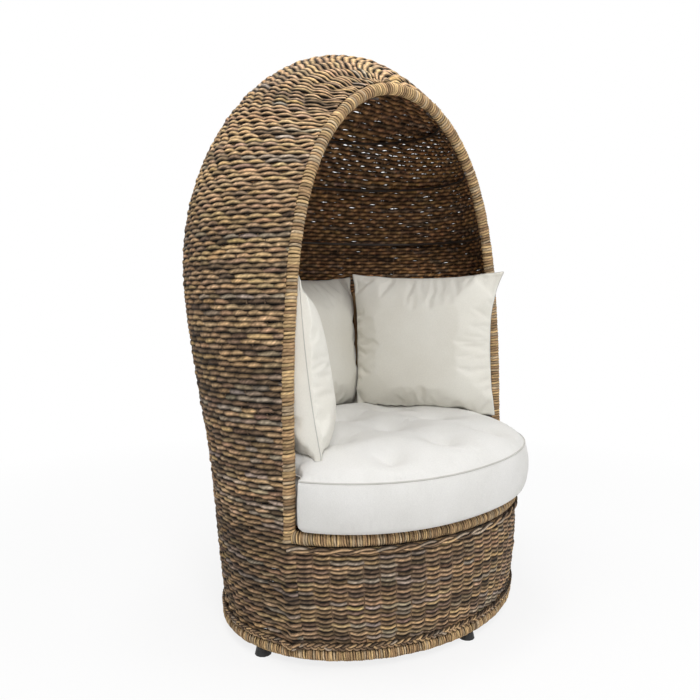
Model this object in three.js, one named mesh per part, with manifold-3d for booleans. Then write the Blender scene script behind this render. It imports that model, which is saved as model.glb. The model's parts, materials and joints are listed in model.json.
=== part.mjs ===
// Egg chair: a woven rope shell on a bent-pole frame, with a boxed seat cushion and three loose pillows.
// Millimetres, +Z up. The chair faces -Y and the origin is on the floor under its middle.
import * as THREE from 'three';
import { mergeVertices } from 'three/addons/utils/BufferGeometryUtils.js';
import Module from 'manifold-3d';

const wasm = await Module();
wasm.setup();

// Fits
const clearance = 0.3;
const softClearance = 0.5;
const skinClearance = 1.5;
const overrun = 40;

// Woven shell, measured to its outer face
const overallHeight = 1640;
const widestHeight = 950;
const widestHalfWidth = 535;
const widestHalfDepth = 385;
const baseCentreY = -31;
const crownSetback = 114;
const setbackStartHeight = 120;
const setbackEndHeight = 1200;
const wallThickness = 12;
const widthShares = [0.873, 0.908, 0.927, 0.966, 1];
const depthShares = [0.971, 1.052, 1.042, 1.042, 1];
const crownWidthPower = 2;
const crownDepthPower = 2.2;

// Front arch, a flat bend that leans back a little
const archFootY = -187;
const archTopY = -146;

// Bound poles: arch, seat rim and base ring
const poleRadius = 12.5;
const ropeThickness = 3.7;
const bindingRadius = poleRadius + clearance + ropeThickness;
const seatRimHeight = 335;
const braidWidth = 16;
const braidThickness = 8;
const braidStandoff = 0.5;
// The braid's section: flat behind, rounded in front, as shares of half its width and of its thickness
const braidSectionShares = [[-1, 0], [1, 0], [1, 0.5], [0.5, 1], [-0.5, 1], [-1, 0.5]];
// Where the arch's bare legs are set out, as shares of their height below the binding
const archLegShares = [0, 0.5];

// Seat frame inside the drum
const seatPoleRadius = 10;
const legBite = 1;
const slatWidth = 60;
const slatThickness = 12;
const slatCount = 9;
// From one slat to the next, as a share of half the width that they fill
const slatPitchShare = 0.2;
const legAngles = [63, 117, 171, 243, 297, 369];
const legNames = ['rear_right', 'rear_left', 'side_left', 'front_left', 'front_right', 'side_right'];

// Back uprights and the rods bent round the inside of the shell
const uprightRadius = 8;
const uprightAngles = [54, 90, 126];
const uprightNames = ['right', 'centre', 'left'];
const hoopRadius = 4;
const hoopStandoff = 4;
const backHoopHeightShares = [0.323, 0.445, 0.567];
const hoodHoopHeightShares = [0.683, 0.799, 0.89];
const uprightTopReach = 12;

// Glides under the base ring
const glideHeight = 22;
const glideFootRadius = 22;
const glideNeckRadius = 17;
const glideInset = 14;
const glideAngles = [90, 187, 270, 353];
const glideNames = ['rear', 'left', 'front', 'right'];
const screwRadius = 2.5;
const screwHeadRadius = 5;
const screwHeadHeight = 3;
const screwHeadRecess = 4;
const screwGrip = 12;

// Seat cushion, a boxed round cushion with sewn tufts
// Its half sizes before it is squeezed in, as shares of the shell's
const cushionWidthShare = 0.916;
const cushionDepthShare = 1.101;
const cushionCentreY = -29;
const cushionSideHeight = 130;
const cushionCrown = 62;
const cushionBulge = 6;
const cushionSeamInset = 9;
const cushionPlanPower = 2.2;
const cushionCrownPower = 7;
const cushionRingPower = 1.5;
// Where the sides turn, and where they swell most, as shares of the side height
const cushionSideShares = [0.3, 0.65];
// The tufts' rows and columns, as shares of the cushion's half sizes
const tuftAcrossShare = 0.439;
const tuftAlongShares = [-0.639, -0.167, 0.304, 0.776];
const tuftDepth = 20;
const tuftRadius = 52;
const tuftEdgeMargin = 70;
// Where the cushion is cut back round the arch's legs, as shares of the binding's radius
const cushionNotchShare = 2;
const cushionNotchAheadShare = 1.2;

// Loose pillows, knife-edged
const pillowWidth = 498;
const pillowHeight = 478;
const pillowThickness = 150;
const pillowDrawInShare = 0.055;
const pillowSwellPower = 0.42;
// Each pillow's place as shares of the seat cushion's half sizes and, for its lower seam, of its crown,
// with its turn about Z and its lean, in degrees
const pillowPlaces = [
  { name: 'back', acrossShare: 0.08, alongShare: 0.79, riseShare: 0.63, turn: 8, lean: 5 },
  { name: 'left', acrossShare: -0.5, alongShare: 0.02, riseShare: 0.484, turn: 62, lean: 9 },
  { name: 'right', acrossShare: 0.68, alongShare: 0.17, riseShare: 0.65, turn: -66, lean: -2 },
];

// How finely curved forms are divided
const aroundSteps = 36;
const lowerRings = 9;
const upperRings = 9;
const archSteps = 36;
const poleSides = 8;
const rodSides = 6;
const glideSides = 12;
const rimSteps = 22;
const hoopSteps = 20;
const uprightSteps = 8;
const pillowCells = 14;
const cushionRings = 13;

// Heights that follow from the sizes above
const baseRingHeight = glideHeight + bindingRadius;
const wallFootHeight = baseRingHeight + bindingRadius + clearance;
const panelTopHeight = seatRimHeight - bindingRadius - clearance;
const seatTopHeight = seatRimHeight + bindingRadius;
const seatRingHeight = seatTopHeight - slatThickness - clearance - seatPoleRadius;
const cushionFloorHeight = seatTopHeight + softClearance;
const cushionSeamHeight = cushionFloorHeight + cushionSideHeight;
const cushionHalfWidth = widestHalfWidth * cushionWidthShare;
const cushionHalfDepth = widestHalfDepth * cushionDepthShare;
const poleInset = wallThickness / 2;
const legInset = poleInset + bindingRadius + seatPoleRadius - legBite;
const seatRingInset = poleInset + bindingRadius + skinClearance + seatPoleRadius;
const hoopInset = wallThickness + hoopStandoff + hoopRadius;
const uprightInset = hoopInset + hoopRadius + uprightRadius - legBite;
const slatInset = uprightInset + uprightRadius + skinClearance;

const radians = THREE.MathUtils.degToRad;
const zAxis = new THREE.Vector3(0, 0, 1);

// Materials
function material(color, roughness, metalness = 0) {
  return new THREE.MeshStandardMaterial({ color, roughness, metalness });
}
const weave = material(0x8a6a45, 0.85);
const rope = material(0xa9834f, 0.8);
const pole = material(0x9c7443, 0.7);
const slatWood = material(0xb08d5c, 0.75);
const darkSteel = material(0x2b2723, 0.5, 0.6);
const blackPlastic = material(0x161616, 0.5);
const zincSteel = material(0xb5b5b0, 0.35, 0.9);
const seatFabric = material(0xe9e7e1, 0.95);
const pillowFabric = material(0xddd8cc, 0.95);

// Shell surface

// Smooth curve through evenly spaced shares, level at its last one.
function shareAt(shares, t) {
  const last = shares.length - 1;
  const place = THREE.MathUtils.clamp(t, 0, 1) * last;
  const i = Math.min(Math.floor(place), last - 1);
  const u = place - i;
  const slopeAt = (k) => {
    if (k === last) return 0;
    if (k === 0) return shares[1] - shares[0];
    return (shares[k + 1] - shares[k - 1]) / 2;
  };
  const rise = shares[i + 1] - shares[i];
  const s0 = slopeAt(i);
  const s1 = slopeAt(i + 1);
  return shares[i] + s0 * u + (3 * rise - 2 * s0 - s1) * u * u + (s0 + s1 - 2 * rise) * u * u * u;
}

// The horizontal oval of the shell at a height, offset inwards by inset.
function ovalAt(height, inset) {
  const setback = THREE.MathUtils.smoothstep(height, setbackStartHeight, setbackEndHeight);
  const centreY = baseCentreY + crownSetback * setback;
  if (height <= widestHeight) {
    const t = height / widestHeight;
    return {
      halfWidth: widestHalfWidth * shareAt(widthShares, t) - inset,
      halfDepth: widestHalfDepth * shareAt(depthShares, t) - inset,
      centreY,
    };
  }
  const rise = Math.min((height - widestHeight) / (overallHeight - widestHeight - inset), 1);
  return {
    halfWidth: (widestHalfWidth - inset) * Math.sqrt(1 - rise ** crownWidthPower),
    halfDepth: (widestHalfDepth - inset) * Math.sqrt(1 - rise ** crownDepthPower),
    centreY,
  };
}

function onShell(height, angle, inset) {
  const oval = ovalAt(height, inset);
  const x = oval.halfWidth * Math.cos(angle);
  const y = oval.centreY + oval.halfDepth * Math.sin(angle);
  return new THREE.Vector3(x, y, height);
}

function archYAt(height) {
  return THREE.MathUtils.lerp(archFootY, archTopY, height / overallHeight);
}

// How far the arch plane lies in front of an oval's centre, as a share of the oval's half depth.
function archReach(height, inset) {
  const oval = ovalAt(height, inset);
  return (oval.centreY - archYAt(height)) / oval.halfDepth;
}

// The angle on the oval, between -90 and 90 degrees, at which it meets the arch plane on the right.
function archAngle(height, inset) {
  return -Math.asin(THREE.MathUtils.clamp(archReach(height, inset), -1, 1));
}

// That angle moved back along the oval by a distance, or forward by a negative one.
function archAngleBehind(height, inset, distance) {
  const oval = ovalAt(height, inset);
  const angle = archAngle(height, inset);
  const speed = Math.hypot(oval.halfWidth * Math.sin(angle), oval.halfDepth * Math.cos(angle));
  return angle + distance / speed;
}

function archApexHeight(inset) {
  let low = widestHeight;
  let high = overallHeight - inset;
  for (let i = 0; i < 40; i += 1) {
    const middle = (low + high) / 2;
    if (archReach(middle, inset) < 1) low = middle;
    else high = middle;
  }
  return low;
}

// Solids

function geometryFrom(vertices, indices) {
  const geometry = new THREE.BufferGeometry();
  geometry.setAttribute('position', new THREE.Float32BufferAttribute(vertices, 3));
  geometry.setIndex(indices);
  return geometry;
}

function solidFrom(geometry) {
  const vertProperties = new Float32Array(geometry.attributes.position.array);
  const triVerts = new Uint32Array(geometry.index.array);
  return new wasm.Manifold(new wasm.Mesh({ numProp: 3, vertProperties, triVerts }));
}

// A closed loft through rings of points that all have the same count, with a point at each end.
function loft(rings, firstPoint, lastPoint) {
  const count = rings[0].length;
  const vertices = [];
  rings.flat().forEach((p) => vertices.push(p.x, p.y, p.z));
  vertices.push(firstPoint.x, firstPoint.y, firstPoint.z);
  vertices.push(lastPoint.x, lastPoint.y, lastPoint.z);
  const first = rings.length * count;
  const last = first + 1;
  const indices = [];
  for (let j = 0; j < count; j += 1) {
    const next = (j + 1) % count;
    indices.push(first, next, j);
    for (let i = 0; i < rings.length - 1; i += 1) {
      const a = i * count + j;
      const b = i * count + next;
      indices.push(a, b, a + count, b, b + count, a + count);
    }
    const top = (rings.length - 1) * count;
    indices.push(top + j, top + next, last);
  }
  return geometryFrom(vertices, indices);
}

// Frames along a path: the section's first axis stays as near as the path allows to a reference,
// which is one direction or one for each point.
function framesAlong(points, references, closed = false) {
  const count = points.length;
  return points.map((point, i) => {
    const before = closed ? points[(i - 1 + count) % count] : points[Math.max(i - 1, 0)];
    const after = closed ? points[(i + 1) % count] : points[Math.min(i + 1, count - 1)];
    const tangent = after.clone().sub(before).normalize();
    const reference = Array.isArray(references) ? references[i] : references;
    const first = reference.clone().addScaledVector(tangent, -reference.dot(tangent)).normalize();
    const second = new THREE.Vector3().crossVectors(tangent, first);
    return { point, first, second };
  });
}

function ringOutline(radius, sides) {
  const step = (2 * Math.PI) / sides;
  return Array.from({ length: sides }, (_, k) => (
    new THREE.Vector2(radius * Math.cos(k * step), radius * Math.sin(k * step))
  ));
}

// Sweeps an outline, with an optional bore of the same point count, along frames.
function sweep(frames, outline, { bore = null, closed = false } = {}) {
  const sides = outline.length;
  const loops = bore ? [outline, bore] : [outline];
  const stride = sides * loops.length;
  const vertices = [];
  frames.forEach(({ point, first, second }) => {
    loops.flat().forEach((p) => {
      const v = point.clone().addScaledVector(first, p.x).addScaledVector(second, p.y);
      vertices.push(v.x, v.y, v.z);
    });
  });
  const indices = [];
  const spans = closed ? frames.length : frames.length - 1;
  for (let i = 0; i < spans; i += 1) {
    const here = i * stride;
    const there = ((i + 1) % frames.length) * stride;
    for (let j = 0; j < sides; j += 1) {
      const k = (j + 1) % sides;
      indices.push(here + j, here + k, there + j, here + k, there + k, there + j);
      if (bore) {
        const p = sides + j;
        const q = sides + k;
        indices.push(here + q, here + p, there + p, here + q, there + p, there + q);
      }
    }
  }
  if (!closed) {
    const end = (frames.length - 1) * stride;
    for (let j = 0; j < sides; j += 1) {
      const k = (j + 1) % sides;
      if (bore) {
        const p = sides + j;
        const q = sides + k;
        indices.push(k, j, p, k, p, q);
        indices.push(end + j, end + k, end + p, end + k, end + q, end + p);
      } else if (j > 0 && k > 0) {
        indices.push(0, k, j);
        indices.push(end, end + j, end + k);
      }
    }
  }
  return geometryFrom(vertices, indices);
}

function pipe(frames, radius, sides, options) {
  return solidFrom(sweep(frames, ringOutline(radius, sides), options));
}

function sleeve(frames, innerRadius, outerRadius, closed = false) {
  const bore = ringOutline(innerRadius, poleSides);
  return solidFrom(sweep(frames, ringOutline(outerRadius, poleSides), { bore, closed }));
}

// The solid inside the shell surface at an inset, from one height to another or to its crown.
function eggSolid(inset, fromHeight, toHeight = overallHeight) {
  const heights = [];
  const crown = overallHeight - inset;
  const lowTop = Math.min(toHeight, widestHeight);
  for (let i = 0; i <= lowerRings; i += 1) {
    heights.push(THREE.MathUtils.lerp(fromHeight, lowTop, i / lowerRings));
  }
  const dome = toHeight > widestHeight;
  if (dome) {
    for (let i = 1; i < upperRings; i += 1) {
      heights.push(widestHeight + (crown - widestHeight) * Math.sin((i / upperRings) * (Math.PI / 2)));
    }
  }
  const step = (2 * Math.PI) / aroundSteps;
  const rings = heights.map((height) => (
    Array.from({ length: aroundSteps }, (_, k) => onShell(height, k * step, inset))
  ));
  const low = new THREE.Vector3(0, ovalAt(fromHeight, inset).centreY, fromHeight);
  const highest = dome ? crown : toHeight;
  const high = new THREE.Vector3(0, ovalAt(highest, inset).centreY, highest);
  return solidFrom(loft(rings, low, high));
}

// Copes a solid against its neighbours and drops the offcuts beyond the joint.
function cope(solid, ...neighbours) {
  const cut = neighbours.reduce((rest, neighbour) => rest.subtract(neighbour), solid);
  return cut.decompose().sort((a, b) => b.volume() - a.volume())[0];
}

// Everything in front of the arch plane, shifted back by an offset.
function inFrontOfArch(offset) {
  const front = -2 * overallHeight;
  const outline = new THREE.Shape([
    new THREE.Vector2(front, -overrun),
    new THREE.Vector2(archYAt(-overrun) + offset, -overrun),
    new THREE.Vector2(archYAt(overallHeight + overrun) + offset, overallHeight + overrun),
    new THREE.Vector2(front, overallHeight + overrun),
  ]);
  const depth = 2 * overallHeight;
  const geometry = new THREE.ExtrudeGeometry(outline, { depth, bevelEnabled: false });
  geometry.translate(0, 0, -depth / 2);
  const turn = new THREE.Matrix4().makeBasis(
    new THREE.Vector3(0, 1, 0),
    new THREE.Vector3(0, 0, 1),
    new THREE.Vector3(1, 0, 0),
  );
  geometry.applyMatrix4(turn);
  return closedSolid(geometry);
}

// A solid from a three.js primitive, whose shared corners are merged first.
function closedSolid(primitive) {
  const bare = primitive.clone();
  bare.deleteAttribute('normal');
  bare.deleteAttribute('uv');
  const merged = mergeVertices(bare);
  const corners = Array.from(merged.index.array);
  const kept = [];
  for (let i = 0; i < corners.length; i += 3) {
    const [a, b, c] = corners.slice(i, i + 3);
    if (a !== b && b !== c && c !== a) kept.push(a, b, c);
  }
  return solidFrom(geometryFrom(Array.from(merged.attributes.position.array), kept));
}

function turned(profile, sides) {
  const points = profile.map(([radius, height]) => new THREE.Vector2(radius, height));
  const geometry = new THREE.LatheGeometry(points, sides);
  geometry.rotateX(Math.PI / 2);
  return closedSolid(geometry);
}

function matrixAt(position, turn = 0, lean = 0) {
  const rotation = new THREE.Quaternion().setFromEuler(new THREE.Euler(lean, 0, turn, 'ZYX'));
  return new THREE.Matrix4().compose(position, rotation, new THREE.Vector3(1, 1, 1));
}

const chair = new THREE.Group();

// Adds a solid, given in the chair's frame, as a mesh whose own frame is the placement.
function addPart(name, solid, finish, placement = new THREE.Matrix4(), parent = chair) {
  const local = solid.transform(placement.clone().invert().toArray());
  const { vertProperties, triVerts } = local.getMesh();
  const geometry = geometryFrom(Array.from(vertProperties), Array.from(triVerts));
  geometry.computeVertexNormals();
  const mesh = new THREE.Mesh(geometry, finish);
  mesh.name = name;
  mesh.applyMatrix4(placement);
  parent.add(mesh);
  return mesh;
}

function ovalPath(height, inset, fromAngle, toAngle, steps) {
  return Array.from({ length: steps + 1 }, (_, i) => (
    onShell(height, THREE.MathUtils.lerp(fromAngle, toAngle, i / steps), inset)
  ));
}

function ovalLoop(height, inset) {
  return ovalPath(height, inset, 0, 2 * Math.PI, aroundSteps).slice(0, aroundSteps);
}

function atHeight(height) {
  return matrixAt(new THREE.Vector3(0, 0, height));
}

// Base ring with its rope binding
const baseFrames = framesAlong(ovalLoop(baseRingHeight, poleInset), zAxis, true);
const baseEnvelope = pipe(baseFrames, bindingRadius + clearance, poleSides, { closed: true });

// Front arch: bare legs inside the drum, bound from the seat rim up
const archNormal = new THREE.Vector3(0, overallHeight, archFootY - archTopY).normalize();
const archBindingFoot = seatRimHeight - bindingRadius - ropeThickness;

function archHalf(side) {
  const apex = archApexHeight(poleInset);
  const onArch = (height) => {
    const point = onShell(height, archAngle(height, poleInset), poleInset);
    return new THREE.Vector3(side * point.x, archYAt(height), height);
  };
  const leg = archLegShares.map((t) => onArch(THREE.MathUtils.lerp(baseRingHeight, archBindingFoot, t)));
  const half = archSteps / 2;
  const bend = Array.from({ length: half }, (_, i) => (
    onArch(archBindingFoot + (apex - archBindingFoot) * Math.sin((i / half) * (Math.PI / 2)))
  ));
  return { leg, bend, top: new THREE.Vector3(0, archYAt(apex), apex) };
}

const leftHalf = archHalf(-1);
const rightHalf = archHalf(1);
const archPoints = [
  ...leftHalf.leg,
  ...leftHalf.bend,
  leftHalf.top,
  ...rightHalf.bend.toReversed(),
  ...rightHalf.leg.toReversed(),
];
const archFrames = framesAlong(archPoints, archNormal);
const archBound = archFrames.slice(leftHalf.leg.length, archPoints.length - rightHalf.leg.length);
const archEnvelope = pipe(archBound, bindingRadius + clearance, poleSides);
const archCore = cope(pipe(archFrames, poleRadius, poleSides), baseEnvelope);

// Seat rim between the arch's legs, across the front of the drum
const buttDepth = bindingRadius / 2;
const rimAngle = archAngleBehind(seatRimHeight, poleInset, -buttDepth);
const rimPoints = ovalPath(seatRimHeight, poleInset, -Math.PI - rimAngle, rimAngle, rimSteps);
const rimFrames = framesAlong(rimPoints, zAxis);

// Seat ring inside the drum, on its legs
const seatRingFrames = framesAlong(ovalLoop(seatRingHeight, seatRingInset), zAxis, true);
const seatRingEnvelope = pipe(seatRingFrames, seatPoleRadius + clearance, poleSides, { closed: true });

function addFrame() {
  const archBase = matrixAt(new THREE.Vector3(0, archFootY, 0));
  addPart('base_ring_core', pipe(baseFrames, poleRadius, poleSides, { closed: true }).subtract(screwHoles()),
    pole, atHeight(baseRingHeight));
  addPart('base_ring_binding',
    sleeve(baseFrames, poleRadius + clearance, bindingRadius, true).subtract(screwHoles()),
    rope, atHeight(baseRingHeight));
  addPart('front_arch_core', archCore, pole, archBase);
  addPart('front_arch_binding', sleeve(archBound, poleRadius + clearance, bindingRadius), rope, archBase);
  addPart('seat_rim_core', cope(pipe(rimFrames, poleRadius, poleSides), archEnvelope),
    pole, atHeight(seatRimHeight));
  addPart('seat_rim_binding',
    cope(sleeve(rimFrames, poleRadius + clearance, bindingRadius), archEnvelope),
    rope, atHeight(seatRimHeight));
}

function addSeatFrame() {
  addPart('seat_ring', pipe(seatRingFrames, seatPoleRadius, poleSides, { closed: true }),
    pole, atHeight(seatRingHeight));

  legAngles.forEach((degrees, i) => {
    const angle = radians(degrees);
    const foot = onShell(baseRingHeight - bindingRadius / 2, angle, legInset);
    const head = onShell(seatRingHeight - seatPoleRadius / 2, angle, legInset);
    const outward = new THREE.Vector3(Math.cos(angle), Math.sin(angle), 0);
    const leg = pipe(framesAlong([foot, head], outward), seatPoleRadius, poleSides);
    addPart(`seat_leg_${legNames[i]}`, cope(leg, baseEnvelope, seatRingEnvelope), pole, matrixAt(foot));
  });

  const ringOval = ovalAt(seatRingHeight, seatRingInset);
  const railY = ringOval.centreY;
  const railReach = ringOval.halfWidth - seatPoleRadius / 2;
  const railEnds = [-railReach, railReach].map((x) => new THREE.Vector3(x, railY, seatRingHeight));
  addPart('seat_cross_rail',
    cope(pipe(framesAlong(railEnds, zAxis), seatPoleRadius, poleSides), seatRingEnvelope),
    pole, matrixAt(new THREE.Vector3(0, railY, seatRingHeight)));

  const slatFloor = seatTopHeight - slatThickness;
  const slatOutline = eggSolid(slatInset, slatFloor - overrun, seatTopHeight + overrun);
  const slatPitch = ovalAt(slatFloor, slatInset).halfWidth * slatPitchShare;
  for (let i = 0; i < slatCount; i += 1) {
    const x = (i - (slatCount - 1) / 2) * slatPitch;
    const blank = new THREE.BoxGeometry(slatWidth, 2 * widestHalfDepth * depthShares[1], slatThickness);
    blank.translate(x, ovalAt(seatRimHeight, 0).centreY, slatFloor + slatThickness / 2);
    const slat = closedSolid(blank).intersect(slatOutline);
    addPart(`seat_slat_${i + 1}`, slat, slatWood, matrixAt(new THREE.Vector3(x, 0, slatFloor)));
  }
}

function hoopFrames(height) {
  const side = archAngle(height, hoopInset);
  return framesAlong(ovalPath(height, hoopInset, side, Math.PI - side, hoopSteps), zAxis);
}

function uprightFrames(degrees) {
  const angle = radians(degrees);
  const footHeight = seatRingHeight + seatPoleRadius / 2;
  const topHeight = backHoopHeightShares.at(-1) * overallHeight + uprightTopReach;
  const path = Array.from({ length: uprightSteps + 1 }, (_, k) => (
    onShell(THREE.MathUtils.lerp(footHeight, topHeight, k / uprightSteps), angle, uprightInset)
  ));
  return framesAlong(path, new THREE.Vector3(-Math.sin(angle), Math.cos(angle), 0));
}

function addBackFrame() {
  const backHeights = backHoopHeightShares.map((share) => share * overallHeight);
  const hoodHeights = hoodHoopHeightShares.map((share) => share * overallHeight);
  const envelopes = backHeights.map((height) => pipe(hoopFrames(height), hoopRadius + clearance, rodSides));
  [...backHeights, ...hoodHeights].forEach((height, i) => {
    const label = i < backHeights.length ? `back_hoop_${i + 1}` : `hood_hoop_${i + 1 - backHeights.length}`;
    const hoop = cope(pipe(hoopFrames(height), hoopRadius, rodSides), archEnvelope);
    addPart(label, hoop, darkSteel, atHeight(height));
  });

  uprightAngles.forEach((degrees, i) => {
    const frames = uprightFrames(degrees);
    const upright = cope(pipe(frames, uprightRadius, poleSides), seatRingEnvelope, ...envelopes);
    addPart(`back_upright_${uprightNames[i]}`, upright, pole, matrixAt(frames[0].point));
  });
}

// Glides, each screwed up into the base ring

function glidePlace(degrees) {
  return onShell(0, radians(degrees), glideInset);
}

const screwShankTop = baseRingHeight + screwGrip / 2;

function screwHoles() {
  const radius = screwRadius + clearance;
  const top = screwShankTop + clearance;
  const hole = turned([[0, 0], [radius, 0], [radius, top], [0, top]], poleSides);
  return glideAngles
    .map((degrees) => hole.transform(matrixAt(glidePlace(degrees)).toArray()))
    .reduce((all, one) => all.add(one));
}

function addGlides() {
  const recess = screwHeadRadius + clearance;
  const bore = screwRadius + clearance;
  const blankTop = baseRingHeight;
  const pad = turned([
    [bore, screwHeadRecess],
    [recess, screwHeadRecess],
    [recess, 0],
    [glideFootRadius, 0],
    [glideNeckRadius, glideHeight],
    [glideNeckRadius, blankTop],
    [bore, blankTop],
    [bore, screwHeadRecess],
  ], glideSides);
  const headTop = screwHeadRecess - clearance;
  const screw = turned([
    [0, headTop - screwHeadHeight],
    [screwHeadRadius, headTop - screwHeadHeight],
    [screwHeadRadius, headTop],
    [screwRadius, headTop],
    [screwRadius, screwShankTop],
    [0, screwShankTop],
  ], poleSides);
  glideAngles.forEach((degrees, i) => {
    const place = matrixAt(glidePlace(degrees));
    const seated = cope(pad.transform(place.toArray()), baseEnvelope);
    addPart(`glide_${glideNames[i]}`, seated, blackPlastic, place);
    addPart(`glide_screw_${glideNames[i]}`, screw.transform(place.toArray()), zincSteel, place);
  });
}

// Woven skins and the braids on them

function addWeave() {
  const wallOffset = bindingRadius + clearance;
  const front = inFrontOfArch(wallOffset);
  const shell = eggSolid(0, wallFootHeight)
    .subtract(eggSolid(wallThickness, wallFootHeight - overrun))
    .subtract(front);
  addPart('woven_shell', shell, weave, atHeight(wallFootHeight));

  const panel = eggSolid(0, wallFootHeight, panelTopHeight)
    .subtract(eggSolid(wallThickness, wallFootHeight - overrun, panelTopHeight + overrun))
    .intersect(inFrontOfArch(-wallOffset));
  addPart('woven_front_panel', panel, weave, atHeight(wallFootHeight));

  const section = braidSectionShares.map(([rise, depth]) => (
    new THREE.Vector2(rise * braidWidth / 2, depth * braidThickness)
  ));
  const braidRound = (height) => {
    const above = ovalLoop(height + braidWidth / 2, 0);
    const below = ovalLoop(height - braidWidth / 2, 0);
    const slopes = above.map((p, k) => p.clone().sub(below[k]));
    const frames = framesAlong(ovalLoop(height, -braidStandoff), slopes, true);
    return solidFrom(sweep(frames, section, { closed: true }));
  };
  const seatBraidHeight = panelTopHeight - clearance - braidWidth / 2;
  addPart('seat_braid', braidRound(seatBraidHeight).intersect(inFrontOfArch(-wallOffset)), rope,
    atHeight(seatBraidHeight));
  const baseBraidHeight = wallFootHeight + clearance + braidWidth / 2;
  const baseBraid = braidRound(baseBraidHeight);
  addPart('base_braid_front', baseBraid.intersect(inFrontOfArch(-wallOffset)), rope,
    atHeight(baseBraidHeight));
  addPart('base_braid_rear', baseBraid.subtract(front), rope, atHeight(baseBraidHeight));
}

// Cushions

function tuftPlaces() {
  const places = [];
  [-tuftAcrossShare, 0, tuftAcrossShare].forEach((acrossShare) => {
    tuftAlongShares.forEach((alongShare) => {
      const x = cushionHalfWidth * acrossShare;
      const y = cushionHalfDepth * alongShare;
      const across = x / (cushionHalfWidth - tuftEdgeMargin);
      const along = y / (cushionHalfDepth - tuftEdgeMargin);
      if (across ** 2 + along ** 2 < 1) places.push(new THREE.Vector2(x, cushionCentreY + y));
    });
  });
  return places;
}

// The boxed seat cushion before it is squeezed in: flat below, bulging sides, a crowned top
// drawn down at each tuft.
function cushionBlank(grow) {
  const tufts = tuftPlaces();
  const outlinePoint = (k, share, inset) => {
    const angle = (k * 2 * Math.PI) / aroundSteps;
    const power = 2 / cushionPlanPower;
    const across = Math.sign(Math.cos(angle)) * Math.abs(Math.cos(angle)) ** power;
    const along = Math.sign(Math.sin(angle)) * Math.abs(Math.sin(angle)) ** power;
    const x = (cushionHalfWidth - inset) * share * across;
    const y = cushionCentreY + (cushionHalfDepth - inset) * share * along;
    return new THREE.Vector2(x, y);
  };
  const ring = (share, inset, heightAt) => (
    Array.from({ length: aroundSteps }, (_, k) => {
      const p = outlinePoint(k, share, inset);
      return new THREE.Vector3(p.x, p.y, heightAt(p, share));
    })
  );
  const topAt = (p, share) => {
    const crown = cushionCrown * (1 - share ** cushionCrownPower);
    const drawn = tufts.reduce((sum, t) => sum + Math.exp(-(p.distanceToSquared(t) / tuftRadius ** 2)), 0);
    return cushionSeamHeight + grow + crown - tuftDepth * drawn;
  };
  const level = (height) => () => height;
  const floor = cushionFloorHeight - grow;
  const [turnHeight, swellHeight] = cushionSideShares.map((t) => floor + t * cushionSideHeight);
  const rings = [
    ring(1, 3 * cushionSeamInset - grow, level(floor)),
    ring(1, cushionSeamInset - grow, level(floor + cushionSeamInset)),
    ring(1, -grow, level(turnHeight)),
    ring(1, -grow - cushionBulge, level(swellHeight)),
    ring(1, -grow, level(cushionSeamHeight - cushionSeamInset)),
    ring(1, cushionSeamInset - grow, level(cushionSeamHeight + grow)),
  ];
  for (let i = 1; i < cushionRings; i += 1) {
    rings.push(ring(1 - (i / cushionRings) ** cushionRingPower, cushionSeamInset - grow, topAt));
  }
  const centre = new THREE.Vector2(0, cushionCentreY);
  return solidFrom(loft(
    rings,
    new THREE.Vector3(0, cushionCentreY, floor),
    new THREE.Vector3(0, cushionCentreY, topAt(centre, 0)),
  ));
}

// A knife-edged pillow in its own frame: X across, Y through, Z up, from its lower seam.
function pillowSolid(grow) {
  const halfWidth = pillowWidth / 2 + grow;
  const halfHeight = pillowHeight / 2 + grow;
  const halfThickness = pillowThickness / 2 + grow;
  const vertices = [];
  const indices = [];
  const cells = pillowCells;
  const id = new Map();
  const vertex = (i, j, side) => {
    const rim = i === 0 || j === 0 || i === cells || j === cells;
    const key = `${i} ${j} ${rim ? 0 : side}`;
    if (!id.has(key)) {
      const u = Math.sin(((i / cells) * 2 - 1) * (Math.PI / 2));
      const v = Math.sin(((j / cells) * 2 - 1) * (Math.PI / 2));
      const x = halfWidth * u * (1 - pillowDrawInShare * (1 - v * v) * Math.abs(u));
      const z = halfHeight * v * (1 - pillowDrawInShare * (1 - u * u) * Math.abs(v));
      const swell = ((1 - u * u) * (1 - v * v)) ** pillowSwellPower;
      id.set(key, vertices.length / 3);
      vertices.push(x, rim ? 0 : side * halfThickness * swell, z + halfHeight - grow);
    }
    return id.get(key);
  };
  for (let i = 0; i < cells; i += 1) {
    for (let j = 0; j < cells; j += 1) {
      [-1, 1].forEach((side) => {
        const a = vertex(i, j, side);
        const b = vertex(i + 1, j, side);
        const c = vertex(i + 1, j + 1, side);
        const d = vertex(i, j + 1, side);
        if (side < 0) indices.push(a, b, c, a, c, d);
        else indices.push(a, c, b, a, d, c);
      });
    }
  }
  return solidFrom(geometryFrom(vertices, indices));
}

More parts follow.
